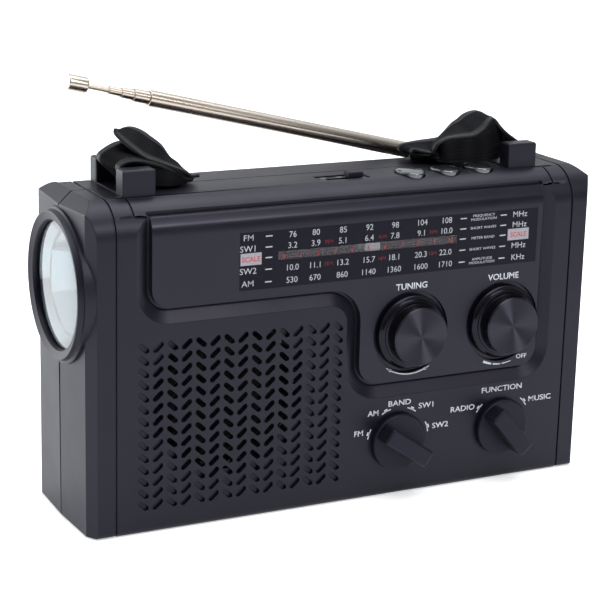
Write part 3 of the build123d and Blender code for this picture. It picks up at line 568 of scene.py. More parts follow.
def grille_cell(name, settings, turn, deep):
    """One cell of the grille with its slot, open at the back or closed by a shallow floor."""
    slot = slot_outline(settings.slot_length, settings.slot_width, turn)
    half_x, half_z = settings.pitch_x / 2, settings.pitch_z / 2
    rim = []
    for x, z in slot:
        stretch = min(half_x / max(abs(x), 1e-6), half_z / max(abs(z), 1e-6))
        rim.append((x * stretch, z * stretch))
    corners = [(sx * half_x, sz * half_z) for sx in (1, -1) for sz in (1, -1)]
    for corner in corners:
        nearest = min(range(len(rim)), key=lambda k: hypot(rim[k][0] - corner[0], rim[k][1] - corner[1]))
        rim[nearest] = corner
    count = len(slot)
    depth = (GRILLE_HIGH.y - GRILLE_LOW.y) / MM if deep else 1.4
    inner = [(x * 0.94, z * 0.94) for x, z in slot]
    rows = [(rim, 0.0), (slot, 0.0), (inner, 0.18), (inner, depth)]
    verts = [mm(x, y, z) for row, y in rows for x, z in row]
    faces = []
    for n in range(3):
        for k in range(count):
            j = (k + 1) % count
            faces.append((n * count + k, n * count + j, (n + 1) * count + j, (n + 1) * count + k))
    if not deep:
        faces.append(tuple(3 * count + k for k in range(count)))
    return stand(name, mesh_from(name, verts, faces))


def grille_tree(cells, first, speaker):
    """Geometry Nodes that lay the four kinds of cell out in columns and rows."""
    tree = bpy.data.node_groups.new("slotted_grille", "GeometryNodeTree")
    face = tree.interface
    face.new_socket("Geometry", in_out="INPUT", socket_type="NodeSocketGeometry")
    face.new_socket("Geometry", in_out="OUTPUT", socket_type="NodeSocketGeometry")
    for name, kind in (("Columns", "Int"), ("Rows", "Int"), ("Pitch X", "Float"), ("Pitch Z", "Float"),
                       ("Open Radius", "Float"), ("Plastic", "Material")):
        face.new_socket(name, in_out="INPUT", socket_type="NodeSocket" + kind)
    given = add(tree, "NodeGroupInput").outputs

    def count(a, b, operation):
        return add(tree, "ShaderNodeMath", {0: a, 1: b}, operation=operation).outputs["Value"]

    total = count(given["Columns"], given["Rows"], "MULTIPLY")
    points = add(tree, "GeometryNodeMeshLine", {"Count": total})
    index = add(tree, "GeometryNodeInputIndex").outputs["Index"]
    column = count(count(index, given["Rows"], "DIVIDE"), 0.0, "FLOOR")
    row = count(index, given["Rows"], "MODULO")
    x = count(count(column, given["Pitch X"], "MULTIPLY"), first.x, "ADD")
    z = count(first.z, count(row, given["Pitch Z"], "MULTIPLY"), "SUBTRACT")
    spot = add(tree, "ShaderNodeCombineXYZ", {"X": x, "Y": FRONT, "Z": z}).outputs["Vector"]
    placed = add(tree, "GeometryNodeSetPosition", {"Geometry": points.outputs["Mesh"], "Position": spot})
    away = add(tree, "ShaderNodeVectorMath", {0: spot, 1: (speaker.x, FRONT, speaker.z)},
               operation="DISTANCE")
    is_open = count(away.outputs["Value"], given["Open Radius"], "LESS_THAN")
    is_odd = count(column, 2.0, "MODULO")
    join = add(tree, "GeometryNodeJoinGeometry")
    for (odd, deep), cell in cells.items():
        odd_part = is_odd if odd else count(1.0, is_odd, "SUBTRACT")
        deep_part = is_open if deep else count(1.0, is_open, "SUBTRACT")
        info = add(tree, "GeometryNodeObjectInfo", {"Object": cell})
        here = add(tree, "GeometryNodeInstanceOnPoints", {
            "Points": placed.outputs["Geometry"], "Instance": info.outputs["Geometry"],
            "Selection": count(odd_part, deep_part, "MULTIPLY")})
        tree.links.new(here.outputs["Instances"], join.inputs["Geometry"])
    real = add(tree, "GeometryNodeRealizeInstances", {"Geometry": join.outputs["Geometry"]})
    merged = add(tree, "GeometryNodeMergeByDistance", {
        "Geometry": real.outputs["Geometry"], "Distance": 1e-5})
    coloured = add(tree, "GeometryNodeSetMaterial", {
        "Geometry": merged.outputs["Geometry"], "Material": given["Plastic"]})
    add(tree, "NodeGroupOutput", {"Geometry": coloured.outputs["Geometry"]})
    return tree


def set_input(modifier, name, value):
    """Set a Geometry Nodes input by its socket's identifier."""
    for item in modifier.node_group.interface.items_tree:
        if item.item_type == "SOCKET" and item.in_out == "INPUT" and item.name == name:
            modifier[item.identifier] = value
            return
    raise KeyError(name)


def grown(tree, **inputs):
    """Run a Geometry Nodes tree on an empty mesh and keep the plain result."""
    holder = stand("grown", bpy.data.meshes.new("grown"))
    modifier = holder.modifiers.new("grow", "NODES")
    modifier.node_group = tree
    for name, value in inputs.items():
        set_input(modifier, name.replace("_", " "), value)
    return baked(holder)


class RADIO_OT_grille(bpy.types.Operator):
    """Lay out the slanted slots of the speaker grille"""
    bl_idname = "radio.grille"
    bl_label = "Speaker grille"

    def execute(self, context):
        s = context.scene.radio_grille
        field_x = s.pitch_x * (s.columns - 1)
        field_z = s.pitch_z * (s.rows - 1)
        centre = (GRILLE_LOW + GRILLE_HIGH) / 2
        first = Vector((centre.x - field_x * MM / 2, FRONT, centre.z + field_z * MM / 2))
        speaker = middle("speaker_magnet")
        cells = {}
        for odd in (0, 1):
            turn = s.slot_angle if odd else -s.slot_angle
            for deep in (0, 1):
                cells[odd, deep] = grille_cell(f"cell_{odd}{deep}", s, turn, deep)
        tree = grille_tree(cells, first, speaker)
        mesh = grown(tree, Columns=s.columns, Rows=s.rows, Pitch_X=s.pitch_x * MM, Pitch_Z=s.pitch_z * MM,
                     Open_Radius=s.open_radius * MM, Plastic=finish("cabinet"))
        for cell in cells.values():
            bpy.data.objects.remove(cell)
        field = (centre.x - (field_x + s.pitch_x) * MM / 2, centre.x + (field_x + s.pitch_x) * MM / 2,
                 centre.z - (field_z + s.pitch_z) * MM / 2, centre.z + (field_z + s.pitch_z) * MM / 2)
        work = bmesh.new()
        work.from_mesh(mesh)
        outer = (GRILLE_LOW.x, GRILLE_HIGH.x, GRILLE_LOW.z, GRILLE_HIGH.z)
        rims = [[work.verts.new((r[i], FRONT, r[j])) for i, j in ((0, 2), (1, 2), (1, 3), (0, 3))]
                for r in (outer, field)]
        for k in range(4):
            j = (k + 1) % 4
            work.faces.new((rims[0][k], rims[0][j], rims[1][j], rims[1][k]))
        work.to_mesh(mesh)
        work.free()
        mesh.materials.clear()
        mesh.shade_smooth()
        mesh.set_sharp_from_angle(angle=radians(25))
        made = piece("grille_field", mesh, "cabinet", "cabinet", "cabinet")
        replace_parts(made, "speaker_grille")
        return {"FINISHED"}


# ---- printing ----------------------------------------------------------------------------
def letters(text, height, bold):
    """Flat mesh of a word in the x, y plane, centred, with the given capital height in metres."""
    curve = bpy.data.curves.new("word", "FONT")
    curve.body = text
    curve.align_x = "CENTER"
    curve.size = height / 0.73
    curve.offset = bold * height
    curve.resolution_u = 3
    mesh = baked(stand("word", curve))
    bpy.data.curves.remove(curve)
    return mesh


def bar(x0, x1, z0, z1):
    """Flat rectangle in the x, y plane, sizes in mm."""
    corners = [mm(x, z, 0) for x, z in ((x0, z0), (x1, z0), (x1, z1), (x0, z1))]
    return mesh_from("bar", corners, [(0, 1, 2, 3)])


def arc_band(centre, radius, width, start, end, steps=24):
    """Flat curved line whose width may taper from one end to the other, sizes in mm and degrees."""
    corners, faces = [], []
    for k in range(steps + 1):
        t = k / steps
        a = radians(start + (end - start) * t)
        half = (width[0] + (width[1] - width[0]) * t) / 2
        for r in (radius - half, radius + half):
            corners.append(mm(centre.x + r * cos(a), centre.z + r * sin(a), 0))
    for k in range(steps):
        faces.append((2 * k, 2 * k + 1, 2 * k + 3, 2 * k + 2))
    return mesh_from("arc", corners, faces)


class Print:
    """Collects flat marks and puts them on a face of the radio as one thin piece."""

    def __init__(self, name, ink_name, thickness):
        self.name, self.ink, self.thickness = name, ink_name, thickness * MM
        self.work = bmesh.new()

    def put(self, mesh, x=0.0, z=0.0, squeeze=1.0):
        mesh.transform(Matrix.Translation(mm(x, z, 0)) @ Matrix.Diagonal((squeeze, 1, 1, 1)))
        self.work.from_mesh(mesh)
        bpy.data.meshes.remove(mesh)

    def word(self, text, x, z, height, bold=0.012, squeeze=1.0):
        self.put(letters(text, height * MM, bold), x, z - height / 2, squeeze=squeeze)

    def land(self, origin, up=(0, 0, 1)):
        """Stand the marks on the plane through origin that is spanned by x and up."""
        right, up = Vector((1, 0, 0)), Vector(up)
        grid = Matrix((right, up, right.cross(up))).transposed().to_4x4()
        grid.translation = origin
        bmesh.ops.remove_doubles(self.work, verts=self.work.verts, dist=1e-6)
        bmesh.ops.recalc_face_normals(self.work, faces=self.work.faces)
        top = list(self.work.faces)
        for face in top:
            if face.normal.z < 0:
                face.normal_flip()
        raised = bmesh.ops.extrude_face_region(self.work, geom=top)
        moved = [v for v in raised["geom"] if isinstance(v, bmesh.types.BMVert)]
        bmesh.ops.translate(self.work, verts=moved, vec=(0, 0, self.thickness))
        bmesh.ops.transform(self.work, matrix=grid, verts=self.work.verts)
        bmesh.ops.recalc_face_normals(self.work, faces=self.work.faces)
        piece(self.name, mesh_of(self.name, self.work), "cabinet", "pointer", self.ink)


# columns of the dial in mm, then each row: label, height, numbers, metre bands, band name, unit
COLUMNS = (-29.5, -19.0, -6.5, 5.7, 17.8, 30.6, 42.5)
STATION_X = (-13.0, 11.9, 36.2)
ROWS = (
    ("FM", 119.1, "76 80 85 92 98 104 108", "", ("FREQUENCY", "MODULATION"), "MHz"),
    ("SW1", 114.6, "3.2 3.9 5.1 6.4 7.8 9.1 10.0", "75M 41M 31M", ("SHORT WAVE1",), "MHz"),
    ("", 110.25, "", "", ("METER BAND",), ""),
    ("SW2", 105.4, "10.0 11.1 13.2 15.7 18.1 20.3 22.0", "25M 16M 13M", ("SHORT WAVE2",), "MHz"),
    ("AM", 100.2, "530 670 860 1140 1360 1600 1710", "", ("AMPLITUDE", "MODULATION"), "KHz"),
)
LABEL_X, UNIT_X, NAME_X = -49.2, 78.9, 60.8
DASH_X = (-40.1, 50.8, 70.7)
SCALE_BOXES, SCALE_Z = ((-52.6, -43.3), (73.2, 83.8)), (107.7, 112.7)
# control labels: word, its middle in x and z, and how wide it is drawn
CONTROL_WORDS = (
    ("BAND", 23.1, 41.2, 1.2), ("AM", 10.5, 38.0, 1.08), ("SW1", 36.5, 38.6, 1.2), ("FM", 3.7, 29.8, 1.08),
    ("SW2", 43.7, 28.7, 1.2), ("FUNCTION", 74.4, 41.5, 1.2), ("RADIO", 54.7, 34.7, 1.18),
    ("MUSIC", 94.4, 34.8, 1.22))
# marks round the selector knobs: knob, angle in degrees and radius in mm
POSITION_MARKS = (
    ("band", 162, 14.5), ("band", 113, 14.8), ("band", 63, 14.8), ("band", 17, 15.2),
    ("function", 140, 14.5), ("function", 40, 15.2))
# tapering dashes round the volume knob: first and last angle, line width at each end
VOLUME_DASHES = ((244, 257, (1.1, 0.8)), (259.5, 271, (0.7, 0.5)), (273.5, 287, (0.45, 0.3)))


class RADIO_OT_dial(bpy.types.Operator):
    """Print the dial rows, the control labels and the pointer's bars"""
    bl_idname = "radio.dial"
    bl_label = "Dial and printing"

    def execute(self, context):
        s = context.scene.radio_dial
        self.print_rows(s)
        self.print_strip(s)
        self.print_labels(s)
        self.pointer_bars()
        return {"FINISHED"}

    def print_rows(self, s):
        white = Print("dial_numbers", "grey_ink", s.ink_thickness)
        red = Print("station_marks", "dull_red_ink", s.ink_thickness)
        for label, z, numbers, stations, names, unit in ROWS:
            if label:
                white.word(label, LABEL_X, z, s.number_height, 0.004, 1.08)
                white.word(unit, UNIT_X, z, s.number_height, 0.004, 1.08)
            for x, number in zip(COLUMNS, numbers.split()):
                white.word(number, x, z, s.number_height, 0.002, 1.0)
            for x, mark in zip(STATION_X, stations.split()):
                red.word(mark, x, z, 1.5, squeeze=1.1)
            for x in DASH_X:
                white.put(bar(x - 1.5, x + 1.5, z - 0.25, z + 0.25))
            for k, name in enumerate(names):
                shift = (len(names) - 1) * 0.8 - 1.6 * k
                white.word(name, NAME_X, z + shift, s.name_height, bold=0.01, squeeze=1.22)
        face = (0, SCALE_LOW.y, 0)
        white.land(face)
        red.land(face)

    def print_strip(self, s):
        box = Print("scale_boxes", "label_ink", s.ink_thickness)
        word = Print("scale_words", "red_ink", s.ink_thickness)
        for x0, x1 in SCALE_BOXES:
            box.put(bar(x0, x1, *SCALE_Z))
            word.word("SCALE", (x0 + x1) / 2, sum(SCALE_Z) / 2, 2.1)
        box.land((0, SCALE_LOW.y, 0))
        word.land((0, SCALE_LOW.y - s.ink_thickness * MM, 0))
        first, last = STRIP_LOW.x / MM + 9.3, STRIP_HIGH.x / MM - 3.0
        # the film covers the left end of the window, up to just before the 0
        mask = Print("film_over_window", "dial_print", s.ink_thickness)
        mask.put(bar(STRIP_LOW.x / MM, first - 2.4, STRIP_LOW.z / MM, STRIP_HIGH.z / MM))
        mask.land((0, SCALE_LOW.y + s.ink_thickness * MM, 0))
        marks = Print("strip_numbers", "strip_ink", s.ink_thickness)
        for k in range(11):
            marks.word(str(k), first + (last - first) * k / 10, 110.3, 2.0)
        marks.land((0, STRIP_LOW.y, 0))

    def print_labels(self, s):
        white = Print("control_labels", "white_ink", s.ink_thickness)
        centres = {name: middle(name + "_knob") / MM for name in ("tuning", "volume", "band", "function")}
        for name in ("tuning", "volume"):
            spot = centres[name]
            white.word(name.upper(), spot.x - 0.4, spot.z + 20.1, s.label_height, 0.03, 1.05)
        self.tuning_arrow(white, centres["tuning"])
        for start, end, width in VOLUME_DASHES:
            white.put(arc_band(centres["volume"], 19.3, width, start, end))
        white.word("OFF", 83.5, 55.2, 2.0, 0.02, 1.15)
        for text, x, z, wide in CONTROL_WORDS:
            white.word(text, x, z, 2.5, 0.022, wide)
        for name, turn, radius in POSITION_MARKS:
            white.put(arc_band(centres[name], radius, (0.5, 0.5), turn - 9, turn + 9))
            white.put(arc_band(centres[name], radius + 0.5, (1.1, 1.1), turn - 3, turn + 3, 6))
        white.land((0, FRONT, 0))

    def tuning_arrow(self, white, centre):
        """Curved double arrow under the tuning knob."""
        radius, start, end = 18.6, 236, 298
        white.put(arc_band(centre, radius, (0.45, 0.45), start, end))
        for turn, way in ((radians(start), -1), (radians(end), 1)):
            tip, foot = turn + way * 0.07, turn - way * 0.09
            corners = [mm(centre.x + r * cos(a), centre.z + r * sin(a), 0)
                       for r, a in ((radius + 0.1, tip), (radius - 0.5, foot), (radius + 0.7, foot))]
            white.put(mesh_from("head", corners, [(0, 1, 2)]))

    def pointer_bars(self):
        """White ribbed face of the pointer carriage, seen through the window."""
        low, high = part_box("dial_pointer")
        ribs, reach, proud, gap = 5, 3.5 * MM, 0.2 * MM, 0.02 * MM
        z0, z1 = low.z + 0.3 * MM, high.z - 0.3 * MM
        start, step = middle("dial_pointer").x - reach, 2 * reach / ribs
        work = bmesh.new()
        for k in range(ribs):
            a, b = start + step * (k + 0.12), start + step * (k + (1.0 if k < 2 else 0.72))
            spot = Vector(((a + b) / 2, low.y - gap - proud / 2, (z0 + z1) / 2))
            place = Matrix.LocRotScale(spot, None, Vector((b - a, proud, z1 - z0)))
            bmesh.ops.create_cube(work, size=1.0, matrix=place)
        piece("pointer_bars", mesh_of("pointer_bars", work), "pointer", "pointer", "pointer")


# ---- knobs -------------------------------------------------------------------------------
def big_knob_profile(s):
    """Radius and reach in mm from inside the panel out to the middle of the cap."""
    cap, tall = s.cap, s.height
    profile = [
        (s.skirt - 2, -1.0), (s.skirt, -1.0), (s.skirt, 1.1), (s.skirt - 0.2, 1.6), (s.skirt - 0.75, 2.0),
        (cap + 2.3, 2.5), (cap + 2.0, 2.75), (cap + 1.5, 2.8), (cap + 1.3, 3.2), (cap + 0.4, 3.4),
        (cap + 0.2, 3.8), (cap - 0.1, tall - 1.1), (cap, tall - 0.9), (cap, tall - 0.55)]
    face = len(profile) - 1
    profile += [(cap - 0.55, tall), (cap - 1.0, tall)]
    rings = 26
    for k in range(rings):
        radius = (cap - 1.0) * (1 - (k + 1) / rings)
        profile.append((max(radius, 0), tall - (0.02 if k % 2 == 0 else 0.0)))
    return profile, face


class RADIO_OT_knobs(bpy.types.Operator):
    """Turn the tuning and volume knobs and round the selector knobs"""
    bl_idname = "radio.knobs"
    bl_label = "Knobs"

    def execute(self, context):
        s = context.scene.radio_knobs
        profile, face = big_knob_profile(s)
        for name in ("tuning", "volume"):
            centre = middle(name + "_knob")
            centre.y = FRONT
            mesh = lathe(profile, centre, (0, -1, 0), 128, lambda n: 1 if n >= face else 0)
            made = piece(name + "_knob_turned", mesh, name, "knob_gloss", "knob_gloss", "cap")
            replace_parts(made, name + "_knob")
        fine = context.scene.radio_shell.fine_edge
        for name in ("band", "function"):
            replace_with_rounded(name + "_knob", name, fine, "knob_matt")
        return {"FINISHED"}


# ---- top controls ------------------------------------------------------------------------
class RADIO_OT_top(bpy.types.Operator):
    """Round the push buttons and the slide switch, and print its label plate"""
    bl_idname = "radio.top"
    bl_label = "Top controls"

    def execute(self, context):
        shell = context.scene.radio_shell
        for k in (1, 2, 3):
            replace_with_rounded(f"push_button_{k}", f"button_{k}", shell.cap_edge, "button")
        replace_with_rounded("slide_switch_knob", "switch_slider", shell.fine_edge, "knob_matt")
        plate_low, plate_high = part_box("switch_plate")
        white = Print("switch_words", "white_ink", context.scene.radio_dial.ink_thickness)
        across = (plate_low.x + plate_high.x) / 2 / MM
        for k, text in enumerate(("DIM", "OFF", "ON")):
            white.word(text, across - 7.4 + 7.4 * k, plate_high.y / MM - 1.5, 1.1, squeeze=1.1)
            white.word("o", across - 7.4 + 7.4 * k, plate_low.y / MM + 1.3, 0.8)
        white.land((0, 0, plate_high.z), up=(0, 1, 0))
        return {"FINISHED"}


# ---- antenna -----------------------------------------------------------------------------
class RADIO_OT_antenna(bpy.types.Operator):
    """Round the ends of the antenna's base, tubes and tip"""
    bl_idname = "radio.antenna"
    bl_label = "Antenna"

    def execute(self, context):
        replace_with_rounded("antenna_base", "antenna_swivel", 0.2, "chrome")
        for k in range(1, 6):
            replace_with_rounded(f"antenna_section_{k}", f"antenna_{k}", 0.25, "chrome")
        replace_with_rounded("antenna_tip", "antenna_5", 0.2, "chrome")
        return {"FINISHED"}


# ---- torch -------------------------------------------------------------------------------
def turned_about_x(node):
    """Middle of the outer end of a part turned about x, with its radius and its depth in mm."""
    low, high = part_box(node)
    return Vector((low.x, 0.0, middle(node).z)), (high.z - low.z) / 2 / MM, (high.x - low.x) / MM


class RADIO_OT_torch(bpy.types.Operator):
    """Shape the torch ring, its lens and its faceted reflector"""
    bl_idname = "radio.torch"
    bl_label = "Torch"

    def execute(self, context):
        self.ring()
        self.lens()
        self.reflector(context.scene.radio_torch)
        return {"FINISHED"}

    def ring(self):
        """Ring with a funnel down to the lens seat, a rolled lip and a step outside it."""
        start, outer, deep = turned_about_x("torch_ring")
        lens_start, lens_radius, _ = turned_about_x("torch_lens")
        seat = (lens_start.x - start.x) / MM
        inner = lens_radius - 0.6
        bore = [(inner, deep), (inner, seat - 0.2), (inner - 0.7, seat - 0.2), (inner - 0.7, seat - 0.9)]
        funnel = [(inner - 0.2, 0.95), (outer - 2.1, 0.12)]
        lip = [(outer - 1.8, 0.0), (outer - 1.5, 0.12), (outer - 1.4, 0.5), (outer - 1.2, 1.9)]
        step = [(outer - 0.9, 2.3), (outer, 2.5), (outer, deep), (inner, deep)]
        mesh = lathe(bore + funnel + lip + step, start, (1, 0, 0), 128)
        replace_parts(piece("torch_ring_turned", mesh, "cabinet", "cabinet", "cabinet"), "torch_ring")

    def lens(self):
        """Lens that domes outward in the middle."""
        start, radius, thick = turned_about_x("torch_lens")
        radius -= 0.05
        dome, steps = 0.5, 12
        front = [(radius * k / steps, dome * (k / steps) ** 2) for k in range(steps)]
        rim = [(radius - 0.2, dome), (radius, 0.8), (radius, thick)]
        back = [(radius * (1 - k / steps), thick - 0.1) for k in range(1, steps + 1)]
        mesh = lathe(front + rim + back, start, (1, 0, 0), 96)
        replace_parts(piece("torch_lens_moulded", mesh, "cabinet", "lens", "lens"), "torch_lens")

    def reflector(self, s):
        """Smooth rim that runs into rings of flat facets round the lamp."""
        start, mouth, depth = turned_about_x("torch_reflector")
        start.z = middle("torch_lens").z
        rim_end = (mouth - 4.2, 4.6)
        lamp_hole = 3.2
        rim = [(mouth, 0.0), (mouth, 0.6), (mouth - 1.4, 0.6), (mouth - 2.2, 1.6), rim_end]
        facets = [rim_end]
        for k in range(1, s.rings + 1):
            t = k / s.rings
            radius = lamp_hole + (rim_end[0] - lamp_hole) * (1 - t) ** 0.55
            facets.append((radius, rim_end[1] + (depth - 5.0) * t))
        bowl = lathe(facets, start, (1, 0, 0), s.facets)
        bowl.shade_flat()
        spin = Matrix.Rotation(pi / s.facets, 4, "X")
        bowl.transform(Matrix.Translation(start) @ spin @ Matrix.Translation(-start))
        mesh = joined("reflector", [lathe(rim, start, (1, 0, 0), 96), bowl])
        mesh.flip_normals()
        made = piece("torch_reflector_faceted", mesh, "cabinet", "reflector", "reflector")
        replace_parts(made, "torch_reflector")


# ---- strap -------------------------------------------------------------------------------
LANES = (-70.0, 63.0)     # x of the two lanes down the antenna channel, in mm
BEHIND = (34.9, 55.6)     # y of the band's two edges where it hangs behind the cabinet
FOLD_HEIGHT = 124.4       # z at which a lane folds into the hanging bight
BIGHT_DROP = 58.0         # how far the bight hangs below its ends
# each station is the near and the far edge of the band, in mm
LEFT_LOOP = (
    ((-90.8, -11.0, 140.4), (-90.8, 9.8, 140.4)),
    ((-93.1, -11.0, 142.7), (-93.1, 9.8, 142.7)),
    ((-95.4, -11.0, 145.8), (-97.2, 9.8, 147.4)),
    ((-93.0, -11.0, 148.0), (-93.6, 9.8, 150.6)),
    ((-88.0, -11.0, 148.2), (-88.4, 9.8, 152.6)),
    ((-81.0, -10.8, 146.6), (-81.5, 9.8, 152.2)),
    ((-74.0, -10.4, 143.6), (-75.0, 9.8, 149.0)),
    ((-67.0, -9.4, 139.6), (-68.0, 10.6, 143.0)),
    ((-63.6, -8.6, 139.4), (-62.6, 11.6, 140.2)),
    ((-66.6, -8.8, 142.2), (-62.8, 10.8, 142.6)),
    ((-72.8, -9.2, 144.8), (-66.4, 9.4, 145.4)),
    ((-79.1, -9.4, 147.2), (-70.4, 8.4, 150.6)),
    ((-84.5, -9.0, 149.4), (-74.8, 9.2, 154.2)),
    ((-88.3, -6.4, 152.4), (-77.6, 11.4, 156.4)),
    ((-91.8, -2.4, 156.0), (-80.4, 14.4, 157.4)),
    ((-93.4, 0.0, 158.4), (-82.8, 16.4, 157.0)),
    ((-93.0, 1.0, 160.2), (-83.6, 16.8, 155.2)),
)
# the gathered band that stands on the cabinet inside the loop
LEFT_GATHER = (
    ((-93.4, -1.0, 139.6), (-92.8, 1.0, 150.2)),
    ((-88.6, -6.5, 138.6), (-88.2, -5.0, 148.6)),
    ((-83.0, -9.4, 138.2), (-82.4, -8.0, 147.4)),
    ((-76.5, -10.6, 137.8), (-75.8, -9.0, 145.6)),
    ((-70.4, -10.2, 137.7), (-69.8, -8.6, 143.0)),
    ((-66.4, -7.2, 137.8), (-66.2, -6.2, 141.2)),
    ((-66.2, -2.0, 138.0), (-66.6, -1.6, 141.6)),
    ((-71.0, 1.6, 138.2), (-71.4, 2.0, 144.6)),
    ((-79.0, 2.6, 138.4), (-79.6, 3.0, 147.4)),
)
RIGHT_LOOP = (
    ((87.0, -11.0, 140.4), (87.0, 9.8, 140.4)),
    ((89.3, -11.0, 142.7), (89.3, 9.8, 142.7)),
    ((90.4, -10.8, 145.2), (92.4, 9.8, 146.6)),
    ((86.0, -10.0, 148.4), (89.8, 10.2, 149.8)),
    ((82.2, -8.6, 152.0), (86.6, 11.2, 153.4)),
    ((79.6, -6.6, 155.6), (83.6, 13.4, 155.6)),
    ((76.8, -7.6, 154.8), (79.9, 12.8, 156.0)),
    ((73.4, -9.0, 152.0), (74.8, 11.2, 155.2)),
    ((68.0, -9.8, 149.6), (71.0, 10.2, 153.2)),
    ((61.6, -9.2, 149.2), (68.4, 10.2, 151.6)),
    ((55.2, -8.2, 148.6), (64.4, 10.2, 147.8)),
    ((50.6, -8.0, 146.6), (59.6, 9.8, 143.8)),
    ((50.0, -7.0, 143.0), (58.0, 10.6, 140.8)),
    ((54.0, -5.0, 140.0), (61.0, 12.0, 139.4)),
)
RIGHT_GATHER = (
    ((85.6, -5.2, 139.0), (85.0, -4.0, 150.0)),
    ((80.6, -8.4, 138.6), (80.4, -6.4, 154.6)),
    ((74.0, -10.0, 138.3), (74.0, -8.2, 152.4)),
    ((66.0, -10.4, 138.2), (66.4, -9.0, 149.4)),
    ((60.0, -9.8, 138.1), (60.6, -8.0, 149.4)),
    ((55.6, -8.6, 138.2), (54.6, -7.4, 148.0)),
    ((53.8, -5.0, 138.4), (53.0, -4.4, 145.4)),
    ((55.6, 0.0, 138.8), (55.4, 0.2, 144.6)),
    ((60.0, 3.4, 139.0), (61.0, 3.6, 147.6)),
)
RIGHT_TAIL = (
    ((64.0, -4.0, 141.0), (66.0, 13.0, 145.4)),
    ((58.0, -4.0, 140.6), (60.4, 13.6, 144.6)),
    ((52.0, -3.2, 141.2), (54.4, 14.6, 144.0)),
    ((47.4, -1.6, 142.4), (49.6, 15.6, 143.2)),
    ((44.6, 0.6, 143.0), (46.4, 16.6, 142.2)),
    ((44.2, 1.4, 141.8), (45.6, 17.0, 140.8)),
    ((47.0, 1.0, 140.0), (48.0, 17.0, 139.4)),
    ((52.0, 0.4, 139.2), (53.0, 16.6, 139.0)),
)


def lane_stations(x, way):
    """Band from the cabinet top, down into the channel and out behind, folded to run along the back."""
    half = way * 10.5
    run = ((-6.0, 140.2), (2.0, 139.0), (9.0, 138.3), (15.0, 138.2), (17.6, 137.6), (18.7, 135.4),
           (18.8, 131.0), (18.9, 127.6), (20.4, 125.9), (24.0, 125.6), (29.0, 125.6), (33.6, 125.9))
    edges = [((x - half, y, z), (x + half, y, z)) for y, z in run]
    low, high = BEHIND
    edges.append(((x - half, low, 126.2), (x + half, high - 6, 126.8)))
    edges.append(((x - half + way * 0.6, low + 0.3, 125.4), (x + half + way * 0.6, high, 125.9)))
    edges.append(((x - half + way * 3, low, FOLD_HEIGHT + 0.2), (x + half + way * 2, high, FOLD_HEIGHT)))
    return edges


def bight_stations():
    """Band hanging in a curve behind the cabinet between the two folds."""
    inset, steps = 8, 12
    left, right = LANES[0] + inset, LANES[1] - inset
    stations = []
    for k in range(steps + 1):
        t = 2 * k / steps - 1
        x = (left + right) / 2 + (right - left) / 2 * t
        z = FOLD_HEIGHT - BIGHT_DROP * (1 - t * t)
        stations.append(tuple((x, y, z) for y in BEHIND))
    return stations


def smooth_line(points, per_span):
    """Catmull-Rom line through the points."""
    ends = [points[0] * 2 - points[1], *points, points[-1] * 2 - points[-2]]
    line = []
    for a, b, c, d in zip(ends, ends[1:], ends[2:], ends[3:]):
        for k in range(per_span):
            t = k / per_span
            line.append(0.5 * (2 * b + (c - a) * t + (2 * a - 5 * b + 4 * c - d) * t * t
                               + (3 * b - a - 3 * c + d) * t ** 3))
    line.append(points[-1].copy())
    return line


def band_mesh(stations, s, selvedge):
    """Woven band between its near and far edges, with lengthwise ribs and, if wanted, plain borders."""
    near, far = (smooth_line([Vector(pair[side]) for pair in stations], 6) for side in (0, 1))
    across = 56
    bulge, rib_height, flat_height = 0.35, 0.3, 0.1
    corners, marks = [], []
    length = 0.0
    for n, (a, b) in enumerate(zip(near, far)):
        if n:
            length += ((a + b) / 2 - (near[n - 1] + far[n - 1]) / 2).length
        ahead = near[min(n + 1, len(near) - 1)] + far[min(n + 1, len(far) - 1)]
        behind = near[max(n - 1, 0)] + far[max(n - 1, 0)]
        out = (ahead - behind).cross(b - a).normalized()
        for k in range(across + 1):
            v = k / across
            from_edge = min(v, 1 - v) * s.width
            crown = bulge * sin(pi * v)
            ribbed = from_edge > s.border
            rib = rib_height * cos(2 * pi * v * s.width / s.rib) if ribbed else flat_height
            corners.append((a.lerp(b, v) + out * (crown + rib)) * MM)
            marks.append((length * MM, v * s.width * MM))
    faces, border = [], []
    wide = across + 1
    for n in range(len(near) - 1):
        for k in range(across):
            i = n * wide + k
            faces.append((i, i + 1, i + wide + 1, i + wide))
            border.append(selvedge and min(k + 0.5, across - k - 0.5) / across * s.width < s.border)
    mesh = mesh_from("band", corners, faces)
    uv = mesh.uv_layers.new(name="weave")
    for face, plain in zip(mesh.polygons, border):
        face.use_smooth = True
        face.material_index = 1 if plain else 0
        for loop in face.loop_indices:
            uv.data[loop].uv = marks[mesh.loops[loop].vertex_index]
    return mesh, length


def thickened(mesh, thickness):
    """Give a sheet its thickness, centred on the sheet."""
    holder = stand("sheet", mesh)
    solid = holder.modifiers.new("thickness", "SOLIDIFY")
    solid.thickness = thickness * MM
    solid.offset = 0
    return baked(holder)


